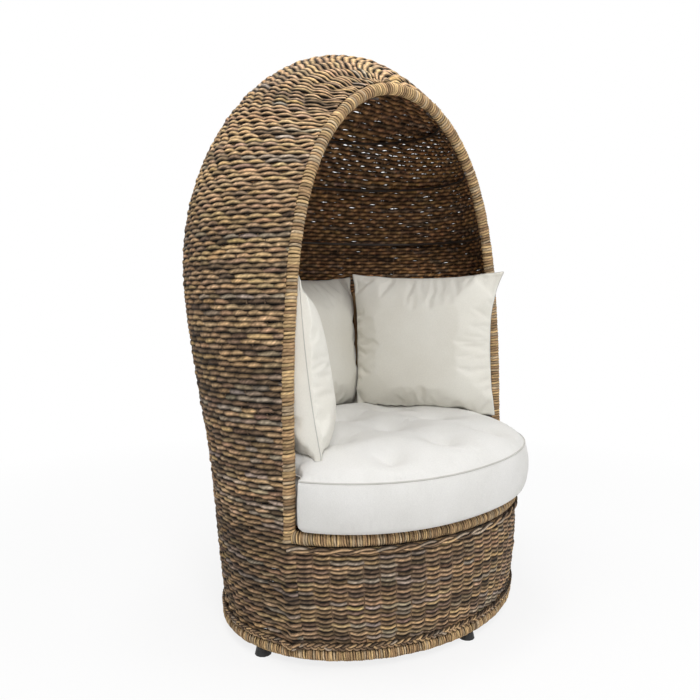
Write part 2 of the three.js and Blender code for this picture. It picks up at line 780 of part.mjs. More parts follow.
function addCushions() {
  const archRoom = pipe(archBound, bindingRadius + skinClearance, poleSides);
  const seatEnvelope = cushionBlank(softClearance);
  const blank = cushionBlank(0);
  const behind = blank.intersect(eggSolid(slatInset, wallFootHeight));
  const ahead = blank.intersect(inFrontOfArch(-bindingRadius - skinClearance));
  const notch = pipe(archBound, cushionNotchShare * bindingRadius, poleSides)
    .translate([0, -cushionNotchAheadShare * bindingRadius, 0]);
  addPart('seat_cushion', behind.add(ahead).subtract(archRoom).subtract(notch), seatFabric,
    atHeight(cushionFloorHeight));

  const room = eggSolid(hoopInset + hoopRadius + 2 * skinClearance, wallFootHeight);
  const uprightRooms = uprightAngles.map((degrees) => (
    pipe(uprightFrames(degrees), uprightRadius + skinClearance, poleSides)
  ));
  // Each pillow is pressed flat where it meets what is there already
  const taken = [archRoom, seatEnvelope, ...uprightRooms];
  pillowPlaces.forEach(({ name, acrossShare, alongShare, riseShare, turn, lean }) => {
    const x = cushionHalfWidth * acrossShare;
    const y = cushionCentreY + cushionHalfDepth * alongShare;
    const lowerSeam = cushionSeamHeight + cushionCrown * riseShare;
    const place = matrixAt(new THREE.Vector3(x, y, lowerSeam), radians(turn), radians(-lean));
    const plump = pillowSolid(0).transform(place.toArray()).intersect(room);
    addPart(`pillow_${name}`, cope(plump, ...taken), pillowFabric, place);
    taken.push(pillowSolid(softClearance).transform(place.toArray()));
  });
}

addGlides();
addFrame();
addSeatFrame();
addBackFrame();
addWeave();
addCushions();

export default chair;
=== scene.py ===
# Looks for the egg chair: woven strands, rope windings and braids, stuffed cushions, materials and light.
# Metres, +Z up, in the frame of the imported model. The chair faces -Y.
import json
import math

import bpy
import numpy as np
from mathutils import Matrix, Vector
from mathutils.bvhtree import BVHTree


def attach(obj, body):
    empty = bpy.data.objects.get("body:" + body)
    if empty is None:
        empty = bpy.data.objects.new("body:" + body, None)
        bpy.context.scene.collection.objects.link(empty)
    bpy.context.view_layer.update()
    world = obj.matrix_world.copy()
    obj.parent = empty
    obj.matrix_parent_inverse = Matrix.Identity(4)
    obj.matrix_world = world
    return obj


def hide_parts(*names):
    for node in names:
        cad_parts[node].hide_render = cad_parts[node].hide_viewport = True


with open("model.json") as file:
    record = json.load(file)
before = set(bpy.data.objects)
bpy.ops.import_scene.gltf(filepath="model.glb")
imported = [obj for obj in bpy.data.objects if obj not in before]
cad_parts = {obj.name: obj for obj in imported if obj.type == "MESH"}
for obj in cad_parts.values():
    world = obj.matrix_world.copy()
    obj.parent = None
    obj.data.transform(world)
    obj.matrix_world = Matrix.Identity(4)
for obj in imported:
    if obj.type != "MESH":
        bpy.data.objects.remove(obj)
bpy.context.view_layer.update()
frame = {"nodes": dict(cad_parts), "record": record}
scene = bpy.context.scene
rng = np.random.default_rng(7)

# Camera, at the photograph's viewing angle
CAMERA_PLACE = (-1.450, -1.445, 0.921)
CAMERA_AIM = (0.690, 0.720, -0.077)
CAMERA_LENS = 34.5
SENSOR = 36.0

# The shell's shape, as the solids have it
TOP = 1.640
WIDEST = 0.950
HALF_WIDTH = 0.535
HALF_DEPTH = 0.385
BASE_Y = -0.031
SETBACK = 0.114
SETBACK_FROM = 0.120
SETBACK_TO = 1.200
WIDTH_SHARES = (0.873, 0.908, 0.927, 0.966, 1.0)
DEPTH_SHARES = (0.971, 1.052, 1.042, 1.042, 1.0)
WIDTH_POWER = 2.0
DEPTH_POWER = 2.2
WALL_FOOT = 0.0553
ARCH_FOOT_Y = -0.187
ARCH_TOP_Y = -0.146
POLE_INSET = 0.006
BOUND_RADIUS = 0.0165
RIM_HEIGHT = 0.335
BASE_RING_HEIGHT = 0.0385
PANEL_TOP = 0.3182
ARCH_BINDING_FOOT = 0.3148
PANEL_AHEAD = 0.0165

# Weave
ROW_PITCH = (PANEL_TOP - WALL_FOOT) / 23
ROW_GROWTH = 0.24
FAN_FROM = 0.900
WAVE = 0.048
WAVE_DEPTH = 0.0022
STRAND_THICK = 0.0052
TINT_LIMIT = 0.80
STAKE_RADIUS = 0.0024
STAKE_TINT = (0.16, 0.105, 0.065)
PANEL_STAKE_TINT = (0.14, 0.09, 0.055)
# A near black cord behind the slit between the seat plait and the rim winding, painted shade of the groove
# there
FILLER_CORD_RADIUS = 0.0045
FILLER_CORD_PAINTED_SHADE = (0.05, 0.032, 0.02)
STEPS_PER_WAVE = 8
# Painted shade and highlight round each strand's section: near black at the upper and lower edges where rows
# meet, brightest on the outer ridge, lighter above it than below, and the inner side lit in its middle
STRAND_ANGLES = np.radians([0, 32, 58, 90, 122, 148, 180, 230, 270, 310])
STRAND_PAINTED_SHADE = np.array([0.01, 0.03, 0.66, 1.72, 0.42, 0.01, 0.01, 0.40, 1.60, 0.40])
# Hue of the painted shade on the strands' inner side, inside the shell
INNER_PAINTED_SHADE_TINT = np.array([1.05, 0.87, 0.73])
PANEL_WAVE = 0.041
# Painted shade and highlight round each rope wrap: near black in the grooves between wraps, brightest on its
# crown
ROPE_ANGLES = np.radians([0, 28, 56, 90, 124, 152, 180, 270])
ROPE_PAINTED_SHADE = np.array([0.03, 0.20, 1.00, 1.36, 1.00, 0.20, 0.03, 0.5])
ARCH_PITCH = 0.0085
RIM_PITCH = 0.0061
ROPE_RADIUS = 0.0030
BRAID_INSET = -0.0045
BRAID_HALF_HEIGHT = 0.008
BRAID_GAP = 0.0003

# Seat cushion
SEAT_FLOOR = 0.352
SEAT_SEAM = 0.482
SEAT_CENTRE_Y = -0.029
SEAT_HALF_WIDTH = 0.490
SEAT_HALF_DEPTH = 0.424
SEAT_CROWN = 0.062
SEAT_ROOM_INSET = 0.0405
NOTCH_RADIUS = 0.024
NOTCH_AHEAD = 0.0130
SEAT_TILT = 0.010
SEAT_VOXEL = 0.0065
TUFT_DEPTH = 0.036
TUFT_WIDTH = 0.040
PIPING_RADIUS = 0.0024
PIPING_RISE = 0.0006
ARCH_ROOM = 0.0190
STUFFED_ARCH_ROOM = 0.0185
CLOTH_FRAMES = 20

# Pillows
PILLOW_WIDTH = 0.504
PILLOW_HEIGHT = 0.474
PILLOW_THICKNESS = 0.150
PILLOW_ROOM_INSET = 0.027
PILLOW_SEAM_RADIUS = 0.0013
PILLOW_REST_GAP = 0.0008
PILLOWS = {
    "back": (0.10, 0.79, 0.70, 8, 5),
    "left": (-0.527, 0.025, 0.482, 58.5, 9),
    "right": (0.68, 0.17, 0.78, -66, -2),
}
# How far each pillow's left and right edges draw in, and how far its upper left and right corners reach out
PILLOW_EDGES = {
    "back": (0.050, 0.010, 0.010, 0.014),
    "left": (0.060, 0.050, 0.000, 0.006),
    "right": (0.010, 0.075, 0.014, 0.022),
}


# Shell surface

def share_at(shares, t):
    shares = np.asarray(shares)
    last = len(shares) - 1
    place = np.clip(t, 0, 1) * last
    i = np.minimum(np.floor(place), last - 1).astype(int)
    u = place - i
    slopes = np.zeros(last + 1)
    slopes[0] = shares[1] - shares[0]
    slopes[1:last] = (shares[2:] - shares[:-2]) / 2
    rise = shares[i + 1] - shares[i]
    a, b = slopes[i], slopes[i + 1]
    return shares[i] + a * u + (3 * rise - 2 * a - b) * u**2 + (a + b - 2 * rise) * u**3


def smoothstep(x, low, high):
    t = np.clip((x - low) / (high - low), 0, 1)
    return t * t * (3 - 2 * t)


def oval(z, inset):
    """Half width, half depth and centre of the shell's horizontal oval at heights z."""
    z = np.asarray(z, float)
    centre = BASE_Y + SETBACK * smoothstep(z, SETBACK_FROM, SETBACK_TO)
    rise = np.clip((z - WIDEST) / (TOP - WIDEST - inset), 0, 1)
    high = z > WIDEST
    width = np.where(high, (HALF_WIDTH - inset) * np.sqrt(1 - rise**WIDTH_POWER),
                     HALF_WIDTH * share_at(WIDTH_SHARES, z / WIDEST) - inset)
    depth = np.where(high, (HALF_DEPTH - inset) * np.sqrt(1 - rise**DEPTH_POWER),
                     HALF_DEPTH * share_at(DEPTH_SHARES, z / WIDEST) - inset)
    return width, depth, centre


def reach(points, inset):
    """How far out points lie from the shell's axis, 1 on the surface at that inset."""
    width, depth, centre = oval(points[..., 2], inset)
    width, depth = np.maximum(width, 1e-5), np.maximum(depth, 1e-5)
    return np.sqrt((points[..., 0] / width) ** 2 + ((points[..., 1] - centre) / depth) ** 2)


def arch_y(z):
    return ARCH_FOOT_Y + (ARCH_TOP_Y - ARCH_FOOT_Y) * np.asarray(z, float) / TOP


def arch_x(z, inset, ahead=0.0):
    """Half the shell's width in the arch plane, or in one that far ahead of it."""
    width, depth, centre = oval(z, inset)
    share = np.clip((centre - arch_y(z) + ahead) / np.maximum(depth, 1e-5), -1, 1)
    return width * np.sqrt(1 - share**2)


def apex_height(inset):
    low, high = WIDEST, TOP - inset
    for _ in range(50):
        middle = (low + high) / 2
        _, depth, centre = oval(middle, inset)
        if (centre - arch_y(middle)) < depth:
            low = middle
        else:
            high = middle
    return low


def arc_lengths(points):
    steps = np.linalg.norm(np.diff(points, axis=0), axis=1)
    return np.concatenate([[0], np.cumsum(steps)])


def along(points, lengths, places):
    return np.stack([np.interp(places, lengths, points[:, k]) for k in range(points.shape[1])], axis=1)


def unit(v):
    return v / np.maximum(np.linalg.norm(v, axis=-1, keepdims=True), 1e-12)


def headings(points, closed=False):
    if closed:
        return unit(np.roll(points, -1, axis=0) - np.roll(points, 1, axis=0))
    return unit(np.gradient(points, axis=0))


def closed_line(points):
    return np.vstack([points, points[:1]])


def shell_loop(height, inset, start, end, count):
    angle = np.linspace(start, end, count)
    width, depth, centre = oval(height, inset)
    x = width * np.cos(angle)
    y = centre + depth * np.sin(angle)
    return np.stack([x, y, np.full(count, float(height))], axis=1)


def wall_angle(height, ahead, inset=0):
    """The angle at which the shell's oval meets the plane that lies that far ahead of the arch's."""
    _, depth, centre = oval(height, inset)
    return -math.asin(float((centre - arch_y(height) + ahead) / depth))


def front_loop(height, inset, end, count):
    return shell_loop(height, inset, -math.pi - end, end, count)


# Tubes

def new_piece(name, mesh, material):
    mesh.polygons.foreach_set("use_smooth", np.ones(len(mesh.polygons), bool))
    mesh.materials.append(material)
    piece = bpy.data.objects.new(name, mesh)
    scene.collection.objects.link(piece)
    return piece


class Tubes:
    """Gathers tubes into one mesh, with UVs along and round each and a tint for each corner point."""

    def __init__(self, sides):
        uniform = np.isscalar(sides)
        self.angle = np.arange(sides) * 2 * np.pi / sides if uniform else sides
        self.sides = len(self.angle)
        self.count = 0
        self.points, self.faces, self.caps, self.uvs, self.tints = [], [], [], [], []

    def add(self, centres, first, second, half_first, half_second, lengths, tints, twist=0.0, closed=False):
        """centres n x 3, first and second the section's axes, half sizes n, tints n x 3 or n x sides x 3."""
        n, sides, angle = len(centres), self.sides, self.angle
        ring = (first[:, None, :] * (np.cos(angle)[None, :, None] * half_first[:, None, None])
                + second[:, None, :] * (np.sin(angle)[None, :, None] * half_second[:, None, None]))
        self.points.append((centres[:, None, :] + ring).reshape(-1, 3))
        if tints.ndim == 2:
            tints = np.repeat(tints[:, None, :], sides, axis=1)
        self.tints.append(tints.reshape(-1, 3))
        spans = n if closed else n - 1
        i = np.arange(spans)[:, None]
        j = np.arange(sides)[None, :]
        nexti, nextj = (i + 1) % n, (j + 1) % sides
        quads = np.stack([i * sides + j, i * sides + nextj,
                          nexti * sides + nextj, nexti * sides + j], axis=-1)
        self.faces.append(quads.reshape(-1, 4) + self.count)
        ends = np.append(lengths, 2 * lengths[-1] - lengths[-2]) if closed else lengths
        u0 = np.broadcast_to(ends[:spans, None], (spans, sides))
        u1 = np.broadcast_to(ends[1:spans + 1, None], (spans, sides))
        v0 = np.broadcast_to(j / sides, (spans, sides))
        v1 = v0 + 1 / sides
        corners = [(u0, v0), (u0, v1), (u1, v1), (u1, v0)]
        uv = np.stack([np.stack([u, v + twist * u], axis=-1) for u, v in corners], axis=2)
        self.uvs.append(uv.reshape(-1, 2))
        if not closed:
            self.caps.append(np.arange(sides)[::-1] + self.count)
            self.caps.append(np.arange(sides) + self.count + (n - 1) * sides)
        self.count += n * sides

    def build(self, name, material):
        points = np.concatenate(self.points)
        quads = np.concatenate(self.faces)
        loops = quads.reshape(-1)
        starts = np.arange(len(quads)) * 4
        uv = np.concatenate(self.uvs)
        if self.caps:
            caps = np.stack(self.caps)
            starts = np.concatenate([starts, len(loops) + np.arange(len(caps)) * self.sides])
            loops = np.concatenate([loops, caps.reshape(-1)])
            uv = np.concatenate([uv, np.zeros((caps.size, 2))])
        mesh = bpy.data.meshes.new(name)
        mesh.vertices.add(len(points))
        mesh.vertices.foreach_set("co", points.astype(np.float32).ravel())
        mesh.loops.add(len(loops))
        mesh.loops.foreach_set("vertex_index", loops.astype(np.int32))
        mesh.polygons.add(len(starts))
        mesh.polygons.foreach_set("loop_start", starts.astype(np.int32))
        mesh.uv_layers.new(name="UVMap")
        mesh.uv_layers["UVMap"].data.foreach_set("uv", uv.astype(np.float32).ravel())
        tint = mesh.color_attributes.new("tint", "FLOAT_COLOR", "POINT")
        colours = np.concatenate([np.concatenate(self.tints), np.ones((len(points), 1))], axis=1)
        tint.data.foreach_set("color", colours.astype(np.float32).ravel())
        mesh.update(calc_edges=True)
        mesh.validate()
        return new_piece(name, mesh, material)


def fit_piece(piece, body, nodes):
    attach(piece, body)
    if nodes:
        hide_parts(*nodes)


# Node helpers

def new_material(name):
    material = bpy.data.materials.new(name)
    material.use_nodes = True
    nodes = material.node_tree.nodes
    nodes.clear()
    output = nodes.new("ShaderNodeOutputMaterial")
    shader = nodes.new("ShaderNodeBsdfPrincipled")
    material.node_tree.links.new(shader.outputs[0], output.inputs[0])
    return material, Nodes(material.node_tree), shader


class Nodes:
    def __init__(self, tree):
        self.tree = tree

    def add(self, kind, inputs=None, **settings):
        node = self.tree.nodes.new(kind)
        for key, value in settings.items():
            setattr(node, key, value)
        for key, value in (inputs or {}).items():
            self.feed(node, key, value)
        return node

    def feed(self, node, key, value):
        if isinstance(value, bpy.types.NodeSocket):
            self.tree.links.new(value, node.inputs[key])
        else:
            node.inputs[key].default_value = value

    def mapping(self, vector, scale):
        return self.add("ShaderNodeMapping", {"Vector": vector, "Scale": scale}).outputs[0]

    def noise(self, vector, scale, detail=2.0, roughness=0.5):
        return self.add("ShaderNodeTexNoise", {"Vector": vector, "Scale": scale, "Detail": detail,
                                               "Roughness": roughness}).outputs[0]

    def span(self, value, low, high, to_low, to_high):
        return self.add("ShaderNodeMapRange", {"Value": value, "From Min": low, "From Max": high,
                                               "To Min": to_low, "To Max": to_high}).outputs[0]

    def math(self, operation, a, b):
        return self.add("ShaderNodeMath", {0: a, 1: b}, operation=operation).outputs[0]

    def mix(self, factor, a, b, blend="MIX"):
        node = self.add("ShaderNodeMix", data_type="RGBA", blend_type=blend)
        for index, value in ((0, factor), (6, a), (7, b)):
            self.feed(node, index, value)
        return node.outputs[2]

    def bump(self, height, distance, strength=1.0, normal=None):
        inputs = {"Height": height, "Distance": distance, "Strength": strength}
        if normal is not None:
            inputs["Normal"] = normal
        return self.add("ShaderNodeBump", inputs).outputs[0]


def fibre_material(name, fibres, contrast, bump, roughness=0.82):
    """Twisted plant fibre: the strand's tint, which holds its tone with painted shade and highlights,
    streaked along its fibres.
    """
    material, n, shader = new_material(name)
    tint = n.add("ShaderNodeAttribute", attribute_name="tint").outputs["Color"]
    uv = n.add("ShaderNodeUVMap", uv_map="UVMap").outputs[0]
    streak = n.noise(n.mapping(uv, (70, fibres, 1)), 1.0, 3.0, 0.6)
    broad = n.noise(n.mapping(uv, (40, 3.0, 1)), 1.0, 2.0, 0.5)
    shade = n.math("MULTIPLY", n.span(streak, 0.3, 0.7, 1 - contrast, 1 + contrast),
                   n.span(broad, 0.3, 0.7, 0.78, 1.22))
    grey = n.add("ShaderNodeCombineColor", {0: shade, 1: shade, 2: shade}).outputs[0]
    colour = n.mix(1.0, tint, grey, "MULTIPLY")
    n.feed(shader, "Base Color", colour)
    n.feed(shader, "Roughness", n.span(streak, 0.3, 0.7, roughness - 0.08, roughness + 0.08))
    n.feed(shader, "Normal", n.bump(streak, bump))
    shader.inputs["Specular IOR Level"].default_value = 0.25
    return material


def wood_material(name, pale, dark, along_scale, roughness):
    material, n, shader = new_material(name)
    where = n.add("ShaderNodeTexCoord").outputs["Object"]
    grain = n.noise(n.mapping(where, along_scale), 1.0, 4.0, 0.6)
    knots = n.noise(where, 9.0, 2.0)
    colour = n.mix(n.span(grain, 0.35, 0.65, 0, 1), (*dark, 1), (*pale, 1))
    colour = n.mix(n.span(knots, 0.55, 0.75, 0, 0.5), colour, (*dark, 1))
    n.feed(shader, "Base Color", colour)
    n.feed(shader, "Roughness", n.span(grain, 0.3, 0.7, roughness - 0.08, roughness + 0.08))
    n.feed(shader, "Normal", n.bump(grain, 0.0006))
    return material


def plain_material(name, colour, roughness, metallic=0.0, speckle=0.25, scale=400.0, bump=0.0001):
    material, n, shader = new_material(name)
    where = n.add("ShaderNodeTexCoord").outputs["Object"]
    fine = n.noise(where, scale, 3.0)
    worn = n.noise(where, 14.0, 3.0)
    low = tuple(c * (1 - speckle) for c in colour)
    high = tuple(min(c * (1 + speckle), 1) for c in colour)
    n.feed(shader, "Base Color", n.mix(n.span(worn, 0.35, 0.65, 0, 1), (*low, 1), (*high, 1)))
    n.feed(shader, "Roughness", n.span(fine, 0.3, 0.7, roughness - 0.1, roughness + 0.1))
    n.feed(shader, "Normal", n.bump(fine, bump))
    shader.inputs["Metallic"].default_value = metallic
    return material


def linen_material(name, colour, warm):
    """Plain-woven linen: crossed threads with slubs, box mapped so that no UVs are needed."""
    material, n, shader = new_material(name)
    where = n.add("ShaderNodeTexCoord").outputs["Object"]
    across = n.noise(n.mapping(where, (160, 900, 900)), 1.0, 2.0, 0.6)
    down = n.noise(n.mapping(where, (900, 900, 160)), 1.0, 2.0, 0.6)
    level = n.noise(n.mapping(where, (900, 160, 900)), 1.0, 2.0, 0.6)
    threads = n.math("ADD", n.math("ADD", across, down), level)
    soft = n.noise(where, 7.0, 3.0)
    tone = n.mix(n.span(soft, 0.35, 0.65, 0, 1), (*warm, 1), (*colour, 1))
    fleck = n.span(threads, 1.15, 1.85, 0.93, 1.05)
    grey = n.add("ShaderNodeCombineColor", {0: fleck, 1: fleck, 2: fleck}).outputs[0]
    n.feed(shader, "Base Color", n.mix(1.0, tone, grey, "MULTIPLY"))
    n.feed(shader, "Normal", n.bump(threads, 0.0005, 0.6))
    shader.inputs["Roughness"].default_value = 0.92
    shader.inputs["Specular IOR Level"].default_value = 0.2
    shader.inputs["Sheen Weight"].default_value = 0.15
    shader.inputs["Sheen Roughness"].default_value = 0.5
    return material


weave_material = fibre_material("woven_fibre", 9, 0.50, 0.0016)
rope_material = fibre_material("rope_fibre", 6, 0.38, 0.0012)
pole_material = wood_material("cane_pole", (0.40, 0.26, 0.13), (0.20, 0.11, 0.05), (60, 60, 8), 0.6)
slat_material = wood_material("slat_softwood", (0.50, 0.36, 0.20), (0.33, 0.21, 0.10), (90, 6, 40), 0.7)
steel_material = plain_material("hoop_steel", (0.055, 0.042, 0.034), 0.5, 0.4)
plastic_material = plain_material("glide_plastic", (0.008, 0.008, 0.008), 0.6)
zinc_material = plain_material("zinc_steel", (0.60, 0.60, 0.58), 0.35, 1.0, 0.08)
seat_material = linen_material("seat_linen", (0.80, 0.79, 0.765), (0.75, 0.74, 0.71))
pillow_material = linen_material("pillow_linen", (0.84, 0.82, 0.75), (0.80, 0.775, 0.70))
# Darker linen for the seat piping and pillow seams, painted shade of the groove along each seam
shaded_seam_material = linen_material("seam_linen_painted_shade", (0.58, 0.565, 0.53), (0.53, 0.515, 0.48))

slot_materials = {
    "pole_wood": pole_material,
    "slat_wood": slat_material,
    "dark_steel": steel_material,
    "black_plastic": plastic_material,
    "zinc_steel": zinc_material,
}
for part in frame["record"]["subparts"]:
    material = slot_materials.get(part["material_slot"])
    if material:
        for slot in frame["nodes"][part["node"]].material_slots:
            slot.material = material


# Tints of the strands, linear colour

TONES = np.array([
    (0.520, 0.345, 0.180),
    (0.450, 0.295, 0.165),
    (0.370, 0.235, 0.130),
    (0.300, 0.200, 0.120),
    (0.220, 0.145, 0.090),
    (0.340, 0.265, 0.195),
    (0.130, 0.085, 0.052),
])
# Lower rows draw the darker tones more often: painted shade, darker low down
TONE_SHARES_LOW = np.array([0.10, 0.18, 0.18, 0.18, 0.14, 0.14, 0.08])
TONE_SHARES_HIGH = np.array([0.26, 0.26, 0.20, 0.12, 0.06, 0.08, 0.02])
ROPE_TONES = np.array([
    (0.520, 0.358, 0.178),
    (0.450, 0.300, 0.152),
    (0.380, 0.242, 0.125),
    (0.300, 0.192, 0.102),
    (0.440, 0.328, 0.205),
])


def lump_tints(count, row_tone_and_shade, height):
    """A tint for each lump of a row: mostly the row's own run of tones, changing now and then."""
    share = smoothstep(height, 0.5, 1.35)
    odds = TONE_SHARES_LOW * (1 - share) + TONE_SHARES_HIGH * share
    odds = odds / odds.sum()
    picks = rng.choice(len(TONES), size=count, p=odds)
    keep = rng.random(count) < 0.45
    for i in range(1, count):
        if keep[i]:
            picks[i] = picks[i - 1]
    hue = 1 + rng.normal(0, 1, (count, 3)) * np.array([0.03, 0.02, 0.06])
    # row_tone_and_shade holds the row's random tone and its painted shade
    return TONES[picks] * row_tone_and_shade * rng.uniform(0.80, 1.22, (count, 1)) * hue


# Woven shell

def meridian(z, side):
    """Points of the shell's outline seen from the side, behind (1) or ahead (-1) of its axis."""
    _, depth, centre = oval(z, POLE_INSET)
    return np.stack([0 * z, centre + side * depth, z], axis=1)


def hood_rows():
    """Each row's height on the arch and its point on the back, from the wall's foot to the arch's apex."""
    low = [WALL_FOOT + ROW_PITCH / 2]
    while low[-1] < FAN_FROM:
        low.append(low[-1] + ROW_PITCH * (1 + ROW_GROWTH * smoothstep(low[-1], 0.34, 0.60)))
    low = np.array(low)
    apex = apex_height(POLE_INSET)
    share = np.sin(np.linspace(0, np.pi / 2, 1500))
    z = low[-1] + (apex - low[-1]) * share
    arch = np.stack([arch_x(z, POLE_INSET), arch_y(z), z], axis=1)
    arch_run = arc_lengths(arch)
    crown = TOP - POLE_INSET
    z = low[-1] + (crown - low[-1]) * share
    behind = meridian(z, 1)
    z = crown + (apex - crown) * (1 - np.cos(np.linspace(0, np.pi / 2, 400)))
    back = np.concatenate([behind, meridian(z, -1)[1:]])
    back_run = arc_lengths(back)
    count = int(round((arch_run[-1] + back_run[-1]) / 2 / ROW_PITCH / (1 + 0.9 * ROW_GROWTH)))
    share = np.arange(1, count) / count
    arch_points = along(arch, arch_run, (share + 0.04 * np.sin(np.pi * share)) * arch_run[-1])
    back_points = along(back, back_run, (share - 0.10 * np.sin(np.pi * share)) * back_run[-1])
    return np.concatenate([low, arch_points[:, 2]]), np.concatenate([meridian(low, 1), back_points])


def trace_rows(heights, backs, ahead, samples):
    """Where each row's plane cuts the shell's middle surface, from the arch's right side to its left."""
    x = arch_x(heights, POLE_INSET, ahead)
    y = arch_y(heights) - ahead
    centre_y, centre_z = (y + backs[:, 1]) / 2, (heights + backs[:, 2]) / 2
    rise_y, rise_z = backs[:, 1] - centre_y, backs[:, 2] - centre_z
    half = np.maximum(np.hypot(rise_y, rise_z), 1e-6)
    start = -np.arctan2(half, np.maximum(x, 1e-6))
    share = np.linspace(0, 1, samples)[None, :]
    turn = start[:, None] + (np.pi - 2 * start[:, None]) * share
    way = np.stack([np.cos(turn),
                    np.sin(turn) * (rise_y / half)[:, None],
                    np.sin(turn) * (rise_z / half)[:, None]], axis=-1)
    centre = np.stack([0 * centre_y, centre_y, centre_z], axis=-1)[:, None, :]
    low = np.zeros(turn.shape)
    high = np.full(turn.shape, 1.3)
    for _ in range(40):
        middle = (low + high) / 2
        points = centre + way * middle[..., None]
        outside = (reach(points, POLE_INSET) > 1) | (points[..., 2] >= TOP - POLE_INSET)
        high = np.where(outside, middle, high)
        low = np.where(outside, low, middle)
    return centre + way * ((low + high) / 2)[..., None]


def grid_normals(grid):
    normals = unit(np.cross(np.gradient(grid, axis=1), np.gradient(grid, axis=0)))
    axis_side = grid - np.array([0, 0.05, 0.8])
    flip = np.sign((normals * axis_side).sum(-1, keepdims=True))
    return normals * np.where(flip == 0, 1, flip)


def row_spacing(grid, tangents):
    step = np.gradient(grid, axis=0)
    step = step - tangents * (step * tangents).sum(-1, keepdims=True)
    return np.linalg.norm(step, axis=-1)


def drift(places, reach_m, size):
    """A slow random wandering along a strand, with a root mean square of size."""
    total = np.zeros(len(places))
    for part in range(3):
        total += np.sin(places * 2 * np.pi / (reach_m * rng.uniform(0.6, 1.8)) + rng.uniform(0, 6.3))
    return total * size / math.sqrt(1.5)


def strand(tubes, line, normals, spacing, run, centre_run, wave, phase, row_tone_and_shade, aligned):
    """One woven strand along a row: it passes in front of one stake and behind the next."""
    length = run[-1]
    step = wave / STEPS_PER_WAVE
    places = np.arange(0, length, step)
    places = np.append(places, length)
    points = along(line, run, places)
    normal = unit(along(normals, run, places))
    gap = np.interp(places, run, spacing)
    tangent = unit(np.gradient(points, axis=0))
    across = unit(np.cross(normal, tangent))
    across = across * np.where(across[:, 2:3] < 0, -1, 1)
    turn = 2 * np.pi * (places - centre_run) / wave + phase
    turn = turn + drift(places, 0.30, 0.20 if aligned else 0.75)
    lump = np.floor(turn / (2 * np.pi) + 0.5).astype(int)
    lump -= lump.min()
    count = lump.max() + 1
    dip = (0.5 - 0.5 * np.cos(turn)) ** 2
    flank = np.sin(turn) ** 2
    jitter = rng.uniform(-1, 1, (count, 4))[lump]
    slack = looseness(points)
    wander = drift(places, 0.12, 0.06) + 0.05 * jitter[:, 2]
    # lit is painted light along each lump, set by how far the strand dips behind a stake
    if aligned:
        half_high = gap * (0.64 - 0.03 * (1 - dip))
        push = WAVE_DEPTH * 0.9 * (1 - 2 * dip)
        slide = -0.0006 * np.cos(turn) + gap * wander * 0.5
        lit = 0.30 + 0.70 * dip
    else:
        half_high = gap * (0.60 + 0.025 * (1 - smoothstep(points[:, 2], 0.95, 1.15)) - 0.175 * slack * flank)
        push = WAVE_DEPTH * (1 - 2 * dip)
        slide = 0.0008 * np.sin(turn + 0.5) + gap * wander * (1 - 0.7 * slack)
        lit = 1 - 0.50 * dip
    push = push + 0.0012 * jitter[:, 1] + drift(places, 0.10, 0.0006) + ridge(points)
    centres = points + normal * push[:, None] + across * slide[:, None]
    thick = STRAND_THICK * (1 - 0.14 * dip) * (1 + 0.10 * jitter[:, 3])
    tints = lump_tints(count, row_tone_and_shade, points[:, 2].mean())[lump]
    tints = tints * (1 + drift(places, 0.02, 0.12))[:, None]
    # Painted shade and highlight round the section go into the tint, in a redder hue on the inner side
    side = tubes.angle
    shades = np.repeat(STRAND_PAINTED_SHADE[None, :], len(places), axis=0)
    shades[:, 1] *= lit * (1 + 0.25 * jitter[:, 0])
    shades[:, [2, 4]] *= (0.35 + 0.65 * lit)[:, None]
    shades[:, 5] *= lit
    # Painted shade: the outer side darker where the strand dips behind a stake, the inner side brighter there
    dip_painted_shade = 1 - (0.15 if aligned else 0.38) * dip
    outer = (np.sin(side) > -0.01)[None, :]
    shades = shades * np.where(outer, dip_painted_shade[:, None], (0.35 + 0.65 * dip)[:, None])
    warm = np.where(outer[..., None], 1.0, INNER_PAINTED_SHADE_TINT)
    tints = tints[:, None, :] * shades[..., None] * warm
    tints = tints * np.minimum(1, TINT_LIMIT / np.maximum(tints.max(axis=-1, keepdims=True), 0.01))
    tubes.add(centres, across, normal, half_high, thick, places, tints, twist=rng.uniform(14, 22))


def looseness(points):
    """Where the weave of the upper hood lets light through, from 0 to 1."""
    x, z = points[:, 0], points[:, 2]
    strong = smoothstep(z, 1.31, 1.42) * (1 - smoothstep(z, 1.465, 1.505))
    faint = smoothstep(z, 1.10, 1.24) * (1 - strong)
    patches = np.sin(x * 9.1 + 2.0 * np.sin(z * 7.3)) * np.sin(z * 13.7 + points[:, 1] * 6.1)
    fine = np.sin(x * 61 + 3 * np.sin(z * 37)) * np.sin(z * 83 + 4 * np.sin(x * 23))
    gaps = strong * (0.80 + 0.30 * patches + 0.30 * fine)
    gaps = gaps + faint * (0.15 + 0.55 * fine + 0.2 * patches)
    return np.clip(gaps, 0, 1.1)


def ridge(points):
    """How far the weave stands out where it passes over the arch's bare legs or runs up on its binding."""
    near = (points[:, 1] - arch_y(points[:, 2])) / 0.020
    return np.where(points[:, 2] < PANEL_TOP, 0.0155, 0.0085) * np.exp(-near**2)


def band_tone(row):
    """Rows of like tone lie together in bands."""
    wave = math.sin(row * 0.19 + 1.3) + 0.7 * math.sin(row * 0.43 + 0.4) + 0.5 * math.sin(row * 0.83)
    return 1.0 + 0.11 * wave


